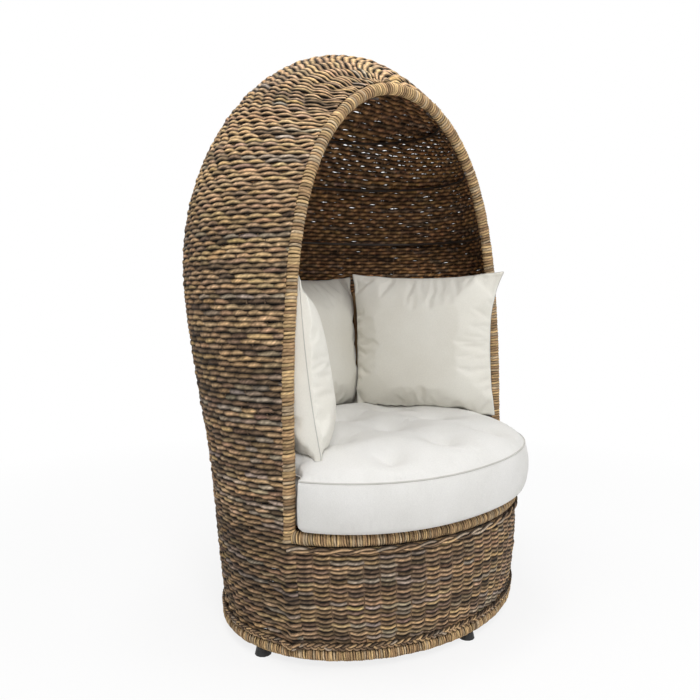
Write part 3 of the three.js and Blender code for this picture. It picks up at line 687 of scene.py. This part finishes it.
def weave_shell():
    heights, backs = hood_rows()
    ahead = np.where(heights < PANEL_TOP, 0.019, -0.008)
    grid = trace_rows(heights, backs, ahead, 601)
    tangents = unit(np.gradient(grid, axis=1))
    normals = grid_normals(grid)
    spacing = row_spacing(grid, tangents)
    # Each row's tone: random bands times painted shade by height, darkest on the drum below the seat rim,
    # lighter just above it, dimmer again at mid height and brightest up the hood
    shade = band_shades(len(grid)) * (0.61 + 0.27 * smoothstep(heights, 0.30, 0.36)
                                      - 0.12 * smoothstep(heights, 0.45, 0.80)
                                      + 0.22 * smoothstep(heights, 0.85, 1.25)
                                      + 0.08 * smoothstep(heights, 1.30, 1.55))
    groups = 6
    pieces = []
    bounds_of = np.linspace(0, len(grid), groups + 1).astype(int)
    for g in range(groups):
        tubes = Tubes(STRAND_ANGLES)
        for i in range(bounds_of[g], bounds_of[g + 1]):
            run = arc_lengths(grid[i])
            if run[-1] < 0.03:
                continue
            centre_run = run[-1] / 2
            strand(tubes, grid[i], normals[i], spacing[i], run, centre_run, WAVE,
                   math.pi * (i % 2), shade[i], False)
        pieces.append(tubes.build(f"shell_weave_{g + 1}", weave_material))
    return pieces, grid


def band_shades(rows):
    return np.array([band_tone(i) for i in range(rows)]) * rng.uniform(0.93, 1.07, rows)


def shell_stakes(grid):
    """Thin rods up the wall, half a wave apart, which the strands pass in front of and behind."""
    tubes = Tubes(5)
    runs = [arc_lengths(row) for row in grid]
    step = WAVE / 2
    most = int(max(r[-1] for r in runs) / 2 / step)
    for m in range(-most, most + 1):
        path = []
        for i in range(0, len(grid), 3):
            place = runs[i][-1] / 2 + m * step
            if 0.004 < place < runs[i][-1] - 0.004:
                path.append(along(grid[i], runs[i], [place])[0])
        if len(path) < 3:
            continue
        add_rod(tubes, np.array(path), STAKE_RADIUS, STAKE_TINT)
    return tubes.build("shell_stakes", weave_material)


def add_rod(tubes, path, radius, colour):
    tangent = unit(np.gradient(path, axis=0))
    guide = np.array([1.0, 0.0, 0.0]) if abs(tangent[:, 0]).mean() < 0.7 else np.array([0.0, 1.0, 0.0])
    first = unit(guide - tangent * (tangent @ guide)[:, None])
    second = np.cross(tangent, first)
    n = len(path)
    tubes.add(path, first, second, np.full(n, radius), np.full(n, radius), arc_lengths(path),
              np.repeat([colour], n, axis=0))


def weave_panel():
    tubes = Tubes(STRAND_ANGLES)
    rods = Tubes(5)
    heights = np.arange(WALL_FOOT + ROW_PITCH / 2, PANEL_TOP, ROW_PITCH)
    # The panel's rows take 0.78 of their random tone as painted shade, as the panel lies below the seat rim
    shades = band_shades(len(heights)) * 0.78
    lines = []
    for z in heights:
        end = wall_angle(z, PANEL_AHEAD, POLE_INSET)
        lines.append(front_loop(z, POLE_INSET, end, 401))
    grid = np.array(lines)
    tangents = unit(np.gradient(grid, axis=1))
    normals = grid_normals(grid)
    spacing = row_spacing(grid, tangents)
    waves = round(arc_lengths(grid[len(grid) // 2])[-1] / PANEL_WAVE)
    for i in range(len(grid)):
        run = arc_lengths(grid[i])
        strand(tubes, grid[i], normals[i], spacing[i], run, 0.0, run[-1] / waves, math.pi, shades[i], True)
    for m in range(1, waves):
        path = np.array([along(row, arc_lengths(row), [arc_lengths(row)[-1] * m / waves])[0] for row in grid])
        add_rod(rods, path, STAKE_RADIUS, PANEL_STAKE_TINT)
    # A near black filler cord along the panel's top, seen through the slit under the rim winding as painted
    # shade
    shaded_filler_cord = front_loop(PANEL_TOP + 0.001, POLE_INSET, end, 240)
    add_rod(rods, shaded_filler_cord, FILLER_CORD_RADIUS, FILLER_CORD_PAINTED_SHADE)
    return [tubes.build("panel_weave", weave_material), rods.build("panel_stakes", weave_material)]


# Rope windings

def winding(name, path, guide, closed, nodes, pitch):
    """Rope wound side by side round a pole that follows path."""
    line = closed_line(path) if closed else path
    run = arc_lengths(line)
    turns = int(round(run[-1] / pitch))
    steps = 20
    count = turns * steps + (0 if closed else 1)
    places = np.arange(count) * run[-1] / (turns * steps)
    centre = along(line, run, places)
    tangent = headings(centre, closed)
    first = unit(guide - tangent * (tangent @ guide)[:, None])
    second = np.cross(tangent, first)
    turn = np.arange(count) / steps
    index = np.floor(turn).astype(int)
    wraps = index.max() + 2
    loose = rng.uniform(-1, 1, wraps)
    loose_now = np.interp(turn, np.arange(wraps), loose)
    angle = 2 * np.pi * turn
    radial = first * np.cos(angle)[:, None] + second * np.sin(angle)[:, None]
    distance = BOUND_RADIUS - ROPE_RADIUS + 0.0009 * loose_now
    lean = np.interp(turn, np.arange(wraps), rng.uniform(-1, 1, wraps))
    points = centre + radial * distance[:, None] + tangent * (0.0022 * np.sin(angle + 0.7) * lean)[:, None]
    side = unit(np.cross(radial, headings(points, closed)))
    tones = ROPE_TONES[rng.choice(len(ROPE_TONES), wraps)] * rng.uniform(0.62, 1.15, (wraps, 1))
    soft = np.cumsum(rng.normal(0, 0.05, wraps))
    tones = tones * (1 + 0.12 * np.sin(soft))[:, None]
    tints = tones[index]
    tubes = Tubes(ROPE_ANGLES)
    lengths = arc_lengths(points)
    # Each wrap's tint carries the painted shade of the grooves and a painted highlight on its crown
    tubes.add(points, side, radial, pitch * (0.56 + 0.10 * loose_now), np.full(count, ROPE_RADIUS), lengths,
              tints[:, None, :] * ROPE_PAINTED_SHADE[None, :, None], twist=20.0, closed=closed)
    fit_piece(tubes.build(name, rope_material), "chair", nodes)


def arch_path():
    apex = apex_height(POLE_INSET)
    z = ARCH_BINDING_FOOT + (apex - ARCH_BINDING_FOOT) * np.sin(np.linspace(0, np.pi / 2, 600))
    half = np.stack([arch_x(z, POLE_INSET), arch_y(z), z], axis=1)
    half[-1, 0] = 0
    other = half[::-1][1:] * np.array([-1, 1, 1])
    return np.concatenate([half, other])


def rim_path():
    return front_loop(RIM_HEIGHT, POLE_INSET, wall_angle(RIM_HEIGHT, 0.010, POLE_INSET), 500)


# Braids

def braid(name, height, start, end, nodes, strands, pitch, half_wide, half_deep, thick):
    """A flat plait or twist of strands that lies on the wall."""
    line = shell_loop(height, BRAID_INSET, start, end, 900)
    run = arc_lengths(line)
    steps = 16
    turns = run[-1] / pitch
    count = int(turns * steps) + 1
    places = np.linspace(0, run[-1], count)
    points = along(line, run, places)
    tangent = unit(np.gradient(points, axis=0))
    above = shell_loop(height + BRAID_HALF_HEIGHT, BRAID_INSET, start, end, 900)
    below = shell_loop(height - BRAID_HALF_HEIGHT, BRAID_INSET, start, end, 900)
    up = unit(along(above - below, run, places))
    outward = unit(np.cross(tangent, up))
    points = points + outward * ridge(points)[:, None]
    tubes = Tubes(STRAND_ANGLES)
    for k in range(strands):
        turn = 2 * np.pi * (places / pitch + k / strands)
        if strands == 2:
            wide, deep = np.sin(turn), np.cos(turn)
        else:
            wide, deep = np.sin(turn), np.sin(2 * turn)
        centres = points + up * (half_wide * wide)[:, None] + outward * (half_deep * deep)[:, None]
        heading = unit(np.gradient(centres, axis=0))
        side = unit(np.cross(outward, heading))
        out = unit(np.cross(heading, side))
        index = np.floor(places / pitch * 2 + k).astype(int)
        tones = TONES[rng.choice(len(TONES), index.max() + 1)]
        tones = tones * rng.uniform(0.6, 1.1, (index.max() + 1, 1))
        swell = 1 + 0.10 * rng.uniform(-1, 1, index.max() + 1)[index]
        # The strands take the weave's painted shade round their sections, no darker than 0.12
        tints = tones[index][:, None, :] * np.maximum(STRAND_PAINTED_SHADE, 0.12)[None, :, None]
        tubes.add(centres, side, out, thick * swell, thick * 0.8 * swell, places, tints, twist=25.0)
    fit_piece(tubes.build(name, rope_material), "chair", nodes)


shell_pieces, shell_grid = weave_shell()
for piece in shell_pieces:
    fit_piece(piece, "chair", ["woven_shell"])
stakes = shell_stakes(shell_grid)
fit_piece(stakes, "chair", ["woven_shell"])
for piece in weave_panel():
    fit_piece(piece, "chair", ["woven_front_panel"])

arch_guide = np.array([0.0, TOP, ARCH_FOOT_Y - ARCH_TOP_Y]) / TOP
winding("arch_winding", arch_path(), arch_guide, False, ["front_arch_binding"], ARCH_PITCH)
winding("rim_winding", rim_path(), np.array([0.0, 0.0, 1.0]), False, ["seat_rim_binding"], RIM_PITCH)
winding("base_winding", shell_loop(BASE_RING_HEIGHT, POLE_INSET, 0, 2 * math.pi, 1201)[:-1],
        np.array([0.0, 0.0, 1.0]), True, ["base_ring_binding"], RIM_PITCH)

seat_braid_height = PANEL_TOP - BRAID_GAP - BRAID_HALF_HEIGHT
front_end = wall_angle(seat_braid_height, 0.006)
braid("seat_plait", seat_braid_height, -math.pi - front_end, front_end, ["seat_braid"], 2, 0.110,
      0.0046, 0.0026, 0.0050)
base_braid_height = WALL_FOOT + BRAID_GAP + BRAID_HALF_HEIGHT
base_end = wall_angle(base_braid_height, 0.0)
braid("base_plait_front", base_braid_height, -math.pi - base_end, base_end, ["base_braid_front"], 3, 0.052,
      0.0058, 0.0026, 0.0046)
braid("base_plait_rear", base_braid_height, base_end, math.pi - base_end, ["base_braid_rear"], 3, 0.048,
      0.0052, 0.0024, 0.0040)


# Cushions

def cushion_outline(angle, share, inset):
    power = 2 / 2.2
    across = np.sign(np.cos(angle)) * np.abs(np.cos(angle)) ** power
    deep = np.sign(np.sin(angle)) * np.abs(np.sin(angle)) ** power
    x = (SEAT_HALF_WIDTH - inset) * share * across
    y = SEAT_CENTRE_Y + (SEAT_HALF_DEPTH - inset) * share * deep
    return x, y


def tuft_places():
    places = []
    for x in (-0.439, 0.0, 0.439):
        for y in (-0.639, -0.167, 0.304, 0.776):
            x_m, y_m = x * SEAT_HALF_WIDTH, y * SEAT_HALF_DEPTH
            if (x_m / (SEAT_HALF_WIDTH - 0.07)) ** 2 + (y_m / (SEAT_HALF_DEPTH - 0.07)) ** 2 < 1:
                places.append((x_m, SEAT_CENTRE_Y + y_m))
    return np.array(places)


def squeeze(points, inset, arch_room, notch_room=0.0, all_round=False):
    """Pushes points inside the shell, behind the arch or all round, and clear of the arch's legs."""
    points = points.copy()
    width, depth, centre = oval(points[:, 2], inset)
    out = np.sqrt((points[:, 0] / width) ** 2 + ((points[:, 1] - centre) / depth) ** 2)
    behind = 1.0 if all_round else smoothstep(points[:, 1] - arch_y(points[:, 2]), -0.014, 0.010)
    scale = 1 + behind * (1 / np.maximum(out, 1) - 1)
    points[:, 0] *= scale
    points[:, 1] = centre + (points[:, 1] - centre) * scale
    leg = arch_x(points[:, 2], POLE_INSET)
    for ahead, room in ((NOTCH_AHEAD, notch_room), (0.0, arch_room)):
        away = points[:, 1] - arch_y(points[:, 2]) + ahead
        most = np.where(np.abs(away) < room, leg - np.sqrt(np.maximum(room**2 - away**2, 0)), 9)
        points[:, 0] = np.sign(points[:, 0]) * np.minimum(np.abs(points[:, 0]), most)
    return points


def mesh_object(name, points, faces, material):
    mesh = bpy.data.meshes.new(name)
    mesh.from_pydata([tuple(p) for p in points], [], [tuple(int(i) for i in f) for f in faces])
    mesh.update()
    return new_piece(name, mesh, material)


def read_points(piece):
    points = np.empty(len(piece.data.vertices) * 3, np.float32)
    piece.data.vertices.foreach_get("co", points)
    return points.reshape(-1, 3).astype(float)


def write_points(piece, points):
    piece.data.vertices.foreach_set("co", points.astype(np.float32).ravel())
    piece.data.update()


def apply_modifiers(piece):
    graph = bpy.context.evaluated_depsgraph_get()
    mesh = bpy.data.meshes.new_from_object(piece.evaluated_get(graph))
    piece.modifiers.clear()
    old = piece.data
    piece.data = mesh
    bpy.data.meshes.remove(old)
    mesh.polygons.foreach_set("use_smooth", np.ones(len(mesh.polygons), bool))


def inflate(piece, pins, pressure, stiffness, spare, cap):
    """Swells a closed cover by cloth simulation, pinned where pins is 1, and keeps the result."""
    start = read_points(piece)
    group = piece.vertex_groups.new(name="pins")
    for level in (0.25, 0.5, 0.75, 1.0):
        chosen = np.nonzero(np.abs(pins - level) < 0.125)[0]
        if len(chosen):
            group.add([int(i) for i in chosen], level, "REPLACE")
    cloth = piece.modifiers.new("cloth", "CLOTH")
    settings = cloth.settings
    settings.quality = 6
    settings.mass = 0.3
    settings.tension_stiffness = stiffness
    settings.compression_stiffness = stiffness
    settings.shear_stiffness = stiffness / 3
    settings.bending_stiffness = 0.4
    settings.air_damping = 4
    settings.use_pressure = True
    settings.uniform_pressure_force = pressure
    settings.shrink_min = -spare
    settings.vertex_group_mass = "pins"
    settings.pin_stiffness = 5
    settings.effector_weights.gravity = 0
    cloth.point_cache.frame_start = 1
    cloth.point_cache.frame_end = CLOTH_FRAMES
    for number in range(1, CLOTH_FRAMES + 1):
        scene.frame_set(number)
    apply_modifiers(piece)
    scene.frame_set(1)
    moved = read_points(piece) - start
    length = np.linalg.norm(moved, axis=1, keepdims=True)
    write_points(piece, start + moved * np.minimum(1, cap / np.maximum(length, 1e-9)))


def subdivide(piece):
    modifier = piece.modifiers.new("smooth", "SUBSURF")
    modifier.levels = 1
    modifier.render_levels = 1
    apply_modifiers(piece)


def seat_cover():
    around = 240
    angle = np.arange(around) * 2 * np.pi / around
    tufts = tuft_places()
    side = SEAT_SEAM - SEAT_FLOOR
    rings = [(0.030, SEAT_FLOOR), (0.014, SEAT_FLOOR + 0.002), (0.006, SEAT_FLOOR + 0.008)]
    rings += [(-0.004 * math.sin(t * math.pi), SEAT_FLOOR + 0.008 + t * (side - 0.012))
              for t in np.linspace(0.06, 1, 12)]
    rings += [(0.004, SEAT_SEAM)]
    points = []
    for inset, z in rings:
        x, y = cushion_outline(angle, 1, inset)
        points.append(np.stack([x, y, np.full(around, z)], axis=1))
    for step in np.linspace(0, 1, 34)[1:-1]:
        share = 1 - step**1.4
        x, y = cushion_outline(angle, share, 0.007)
        crown = SEAT_CROWN * 0.90 * (1 - share**7.0)
        drawn = sum(np.exp(-((x - t[0]) ** 2 + (y - t[1]) ** 2) / TUFT_WIDTH**2) for t in tufts)
        points.append(np.stack([x, y, SEAT_SEAM + crown - TUFT_DEPTH * drawn], axis=1))
    rows = len(points)
    points = np.concatenate(points)
    low, high = len(points), len(points) + 1
    points = np.concatenate([points, [[0, SEAT_CENTRE_Y, SEAT_FLOOR], [0, SEAT_CENTRE_Y, points[-1, 2]]]])
    points = squeeze(points, SEAT_ROOM_INSET, ARCH_ROOM, NOTCH_RADIUS)
    faces = []
    for k in range(around):
        after = (k + 1) % around
        faces.append((low, after, k))
        faces.append((high, (rows - 1) * around + k, (rows - 1) * around + after))
        faces += [(i * around + k, i * around + after, (i + 1) * around + after, (i + 1) * around + k)
                  for i in range(rows - 1)]
    piece = mesh_object("seat_cover", points, faces, seat_material)
    remesh = piece.modifiers.new("remesh", "REMESH")
    remesh.mode = "VOXEL"
    remesh.voxel_size = SEAT_VOXEL
    remesh.use_smooth_shade = True
    apply_modifiers(piece)
    points = read_points(piece)
    pins = (points[:, 2] < SEAT_FLOOR + 0.012).astype(float)
    outline_x, outline_y = cushion_outline(np.linspace(0, 2 * np.pi, 720), 1, 0.004)
    seam = np.stack([outline_x, outline_y, np.full(720, SEAT_SEAM)], axis=1)
    seam = squeeze(seam, SEAT_ROOM_INSET, ARCH_ROOM, NOTCH_RADIUS)
    flat = points[:, :2][:, None, :]
    near_seam = np.zeros(len(points), bool)
    band = np.nonzero(np.abs(points[:, 2] - SEAT_SEAM) < 0.012)[0]
    for start in range(0, len(band), 2000):
        some = band[start:start + 2000]
        gap = np.linalg.norm(flat[some] - seam[None, :, :2], axis=2).min(axis=1)
        near_seam[some] = gap < 0.006
    pins[near_seam] = 1
    for x, y in tufts:
        near = np.hypot(points[:, 0] - x, points[:, 1] - y)
        pins[(near < 0.008) & (points[:, 2] > SEAT_SEAM - 0.01)] = 1
    inflate(piece, pins, 4.0, 18, 0.012, 0.024)
    points = read_points(piece)
    points = squeeze(points, SEAT_ROOM_INSET, STUFFED_ARCH_ROOM, NOTCH_RADIUS)
    points[:, 2] = np.maximum(points[:, 2], SEAT_FLOOR - 0.001)
    write_points(piece, tilt_seat(points))
    subdivide(piece)
    return piece, tilt_seat(seam), tufts


def tilt_seat(points):
    """Lifts the cushion's top a little towards the chair's own left, where it is pressed up."""
    points = points.copy()
    share = np.clip((points[:, 2] - SEAT_FLOOR) / (SEAT_SEAM - SEAT_FLOOR), 0, 1)
    points[:, 2] += SEAT_TILT * smoothstep(points[:, 0], -0.25, 0.45) * share
    return points


def nearest_tree(piece):
    mesh = piece.data
    return BVHTree.FromPolygons([v.co for v in mesh.vertices], [tuple(p.vertices) for p in mesh.polygons])


def piping(name, tree, line, radius, rise, body):
    """A cord sewn into a seam all round: it follows line, laid on the cover's surface, in darker linen that
    paints the seam's shade.
    """
    line = closed_line(line)
    run = arc_lengths(line)
    count = int(run[-1] / 0.005)
    path = along(line, run, np.linspace(0, run[-1], count + 1)[:count])
    laid, out = [], []
    for p in path:
        where, normal, _, _ = tree.find_nearest(Vector(p))
        laid.append(tuple(where))
        out.append(tuple(normal))
    laid, out = np.array(laid), np.array(out)
    for _ in range(4):
        laid = (np.roll(laid, 1, 0) + 2 * laid + np.roll(laid, -1, 0)) / 4
        out = (np.roll(out, 1, 0) + 2 * out + np.roll(out, -1, 0)) / 4
    out = unit(out)
    centre = laid + out * rise
    tangent = headings(centre, True)
    side = unit(np.cross(out, tangent))
    out = np.cross(tangent, side)
    tubes = Tubes(8)
    n = len(centre)
    tubes.add(centre, side, out, np.full(n, radius), np.full(n, radius), arc_lengths(centre),
              np.full((n, 3), 0.8), closed=True)
    fit_piece(tubes.build(name, shaded_seam_material), body, [])


def pillow_matrix(name):
    across, deep, rise, turn, lean = PILLOWS[name]
    place = Vector((SEAT_HALF_WIDTH * across, SEAT_CENTRE_Y + SEAT_HALF_DEPTH * deep,
                    SEAT_SEAM + SEAT_CROWN * rise))
    return (Matrix.Translation(place) @ Matrix.Rotation(math.radians(turn), 4, "Z")
            @ Matrix.Rotation(math.radians(-lean), 4, "X"))


def transform(matrix, points):
    m = np.array(matrix)
    return points @ m[:3, :3].T + m[:3, 3]


def pillow_cover(name, seat_tree, seed):
    cells = 72
    random = np.random.default_rng(seed)
    side = np.linspace(-1, 1, cells + 1)
    u, v = np.meshgrid(side, side, indexing="ij")
    draw_left, draw_right, reach_left, reach_right = PILLOW_EDGES[name]
    draw = np.where(u < 0, draw_left, draw_right)
    corner = np.abs(u) ** 5 * np.maximum(v, 0) ** 5
    ear = np.where(u < 0, -reach_left, reach_right) * corner
    x = PILLOW_WIDTH / 2 * u * (1 - draw * (1 - v * v) * np.abs(u)) + ear
    hollow = np.where(v < 0, 0.015, 0.055)
    z = PILLOW_HEIGHT / 2 * v * (1 - hollow * (1 - u * u) * np.abs(v)) + 0.3 * np.abs(ear)
    swell = np.maximum((1 - u * u) * (1 - np.abs(v) ** np.where(v < 0, 5, 2)), 0) ** 0.46
    lumps = 0
    for a in (1, 2, 3):
        for b in (1, 2):
            lump = random.uniform(-1, 1) * np.sin(a * u * 2.1 + random.uniform(0, 6))
            lumps = lumps + lump * np.sin(b * v * 1.9 + random.uniform(0, 6))
    half = PILLOW_THICKNESS / 2 * 0.88 * swell
    front = np.stack([x, -half * (1 + 0.02 * lumps), z + PILLOW_HEIGHT / 2], axis=-1)
    back = np.stack([x, half, z + PILLOW_HEIGHT / 2], axis=-1)
    n = cells + 1
    index = np.arange(n * n).reshape(n, n)
    inner = np.zeros((n, n), bool)
    inner[1:-1, 1:-1] = True
    back_index = index.copy()
    back_index[inner] = n * n + np.arange(inner.sum())
    points = np.concatenate([front.reshape(-1, 3), back[inner]])
    faces = []
    for i in range(cells):
        for j in range(cells):
            faces.append((index[i, j], index[i + 1, j], index[i + 1, j + 1], index[i, j + 1]))
            faces.append((back_index[i, j], back_index[i, j + 1],
                          back_index[i + 1, j + 1], back_index[i + 1, j]))
    piece = mesh_object(f"pillow_{name}_cover", points, faces, pillow_material)
    rim = ~inner
    rim_line = np.concatenate([index[:-1, 0], index[-1, :-1], index[:0:-1, -1], index[0, :0:-1]])
    pins = np.zeros(len(points))
    pins[index[rim]] = 1
    inflate(piece, pins, 3.5, 12, 0.050, 0.028)
    points = transform(pillow_matrix(name), read_points(piece))
    points = settle(points, seat_tree, name == "right")
    write_points(piece, points)
    rim_points = points[rim_line]
    subdivide(piece)
    return piece, rim_points


def settle(points, seat_tree, leans_out):
    """Presses a pillow's points clear of the wall and rods behind it, the arch and the seat cushion below."""
    points = points.copy()
    points = squeeze(points, PILLOW_ROOM_INSET, ARCH_ROOM, all_round=not leans_out)
    for k in np.nonzero(points[:, 2] < SEAT_SEAM + SEAT_CROWN + 0.06)[0]:
        hit = seat_tree.ray_cast(Vector((points[k, 0], points[k, 1], 1.2)), Vector((0, 0, -1)))
        if hit[0] is not None and points[k, 2] < hit[0].z + PILLOW_REST_GAP:
            points[k, 2] = hit[0].z + PILLOW_REST_GAP
    return points


def tuft_threads(tufts, tree):
    """Two crossed stitches at the bottom of each tuft."""
    tubes = Tubes(6)
    for x, y in tufts:
        hit = tree.ray_cast(Vector((x, y, 1.2)), Vector((0, 0, -1)))[0]
        for turn in (0.5, 2.1):
            t = np.linspace(-1, 1, 7)
            way = np.array([math.cos(turn), math.sin(turn), 0])
            path = np.array([x, y, hit.z]) + way * (0.006 * t)[:, None]
            path[:, 2] += 0.0016 * (1 - t**4) - 0.0006
            add_rod(tubes, path, 0.0009, (0.8, 0.79, 0.76))
    piece = tubes.build("tuft_threads", seat_material)
    fit_piece(piece, "chair", [])


seat_piece, seat_seam, tufts = seat_cover()
fit_piece(seat_piece, "chair", ["seat_cushion"])
seat_tree = nearest_tree(seat_piece)
piping("seat_piping", seat_tree, seat_seam, PIPING_RADIUS, PIPING_RISE, "chair")
tuft_threads(tufts, seat_tree)

for seed, name in enumerate(PILLOWS):
    cover, rim = pillow_cover(name, seat_tree, seed)
    fit_piece(cover, f"pillow_{name}", [f"pillow_{name}"])
    piping(f"pillow_{name}_seam", nearest_tree(cover), rim, PILLOW_SEAM_RADIUS, 0.0,
           f"pillow_{name}")


# Camera
camera_data = bpy.data.cameras.new("camera")
camera_data.lens = CAMERA_LENS
camera_data.sensor_width = SENSOR
camera = bpy.data.objects.new("camera", camera_data)
camera.location = CAMERA_PLACE
camera.rotation_mode = "QUATERNION"
camera.rotation_quaternion = Vector(CAMERA_AIM).to_track_quat("-Z", "Y")
camera_data.clip_start = 0.05
camera_data.clip_end = 100
scene.collection.objects.link(camera)
scene.camera = camera


# Floor, world and lamps

def seen_straight(n):
    """1 for rays that show a surface as a picture, 0 for those that light other surfaces."""
    path = n.add("ShaderNodeLightPath")
    seen = n.math("MAXIMUM", path.outputs["Is Camera Ray"], path.outputs["Is Glossy Ray"])
    return n.math("MAXIMUM", seen, path.outputs["Is Transmission Ray"])


def add_stage():
    size = 30
    corners = [(-size, -size, 0), (size, -size, 0), (size, size, 0), (-size, size, 0)]
    mesh = bpy.data.meshes.new("floor")
    mesh.from_pydata(corners, [], [(0, 1, 2, 3)])
    floor = bpy.data.objects.new("floor", mesh)
    scene.collection.objects.link(floor)
    material, n, shader = new_material("pale_floor")
    seen = seen_straight(n)
    shader.inputs["Base Color"].default_value = (0.9, 0.9, 0.9, 1)
    shader.inputs["Roughness"].default_value = 0.9
    shader.inputs["Specular IOR Level"].default_value = 0.0
    glow = n.add("ShaderNodeEmission", {"Color": (1, 1, 1, 1), "Strength": 1.0})
    where = n.add("ShaderNodeTexCoord").outputs["Object"]
    away = n.add("ShaderNodeVectorMath", {0: where}, operation="LENGTH").outputs["Value"]
    share = n.span(away, 0.6, 2.6, 0.82, 1.0)
    mixed = n.add("ShaderNodeMixShader", {0: n.math("MULTIPLY", seen, share), 1: shader.outputs[0],
                                          2: glow.outputs[0]})
    output = next(x for x in material.node_tree.nodes if x.type == "OUTPUT_MATERIAL")
    material.node_tree.links.new(mixed.outputs[0], output.inputs[0])
    mesh.materials.append(material)


def add_world():
    world = bpy.data.worlds.new("studio")
    scene.world = world
    world.use_nodes = True
    tree = world.node_tree
    tree.nodes.clear()
    n = Nodes(tree)
    strength = n.span(seen_straight(n), 0, 1, 0.26, 1.0)
    back = n.add("ShaderNodeBackground", {"Color": (1, 1, 1, 1), "Strength": strength})
    output = n.add("ShaderNodeOutputWorld")
    tree.links.new(back.outputs[0], output.inputs[0])


def add_lamp(name, place, aim, size, power):
    data = bpy.data.lights.new(name, "AREA")
    data.shape = "SQUARE"
    data.size = size
    data.energy = power
    lamp = bpy.data.objects.new(name, data)
    lamp.location = place
    lamp.rotation_mode = "QUATERNION"
    lamp.rotation_quaternion = (Vector(aim) - Vector(place)).to_track_quat("-Z", "Y")
    scene.collection.objects.link(lamp)


add_stage()
add_world()
add_lamp("key", (-2.0, -2.6, 3.6), (0, 0, 0.8), 1.6, 100)
add_lamp("fill", (2.6, -3.0, 2.2), (0, 0, 0.7), 2.4, 38)
add_lamp("top", (-0.4, 0.3, 4.2), (0, 0, 0.8), 1.8, 75)
scene.view_settings.view_transform = "Standard"
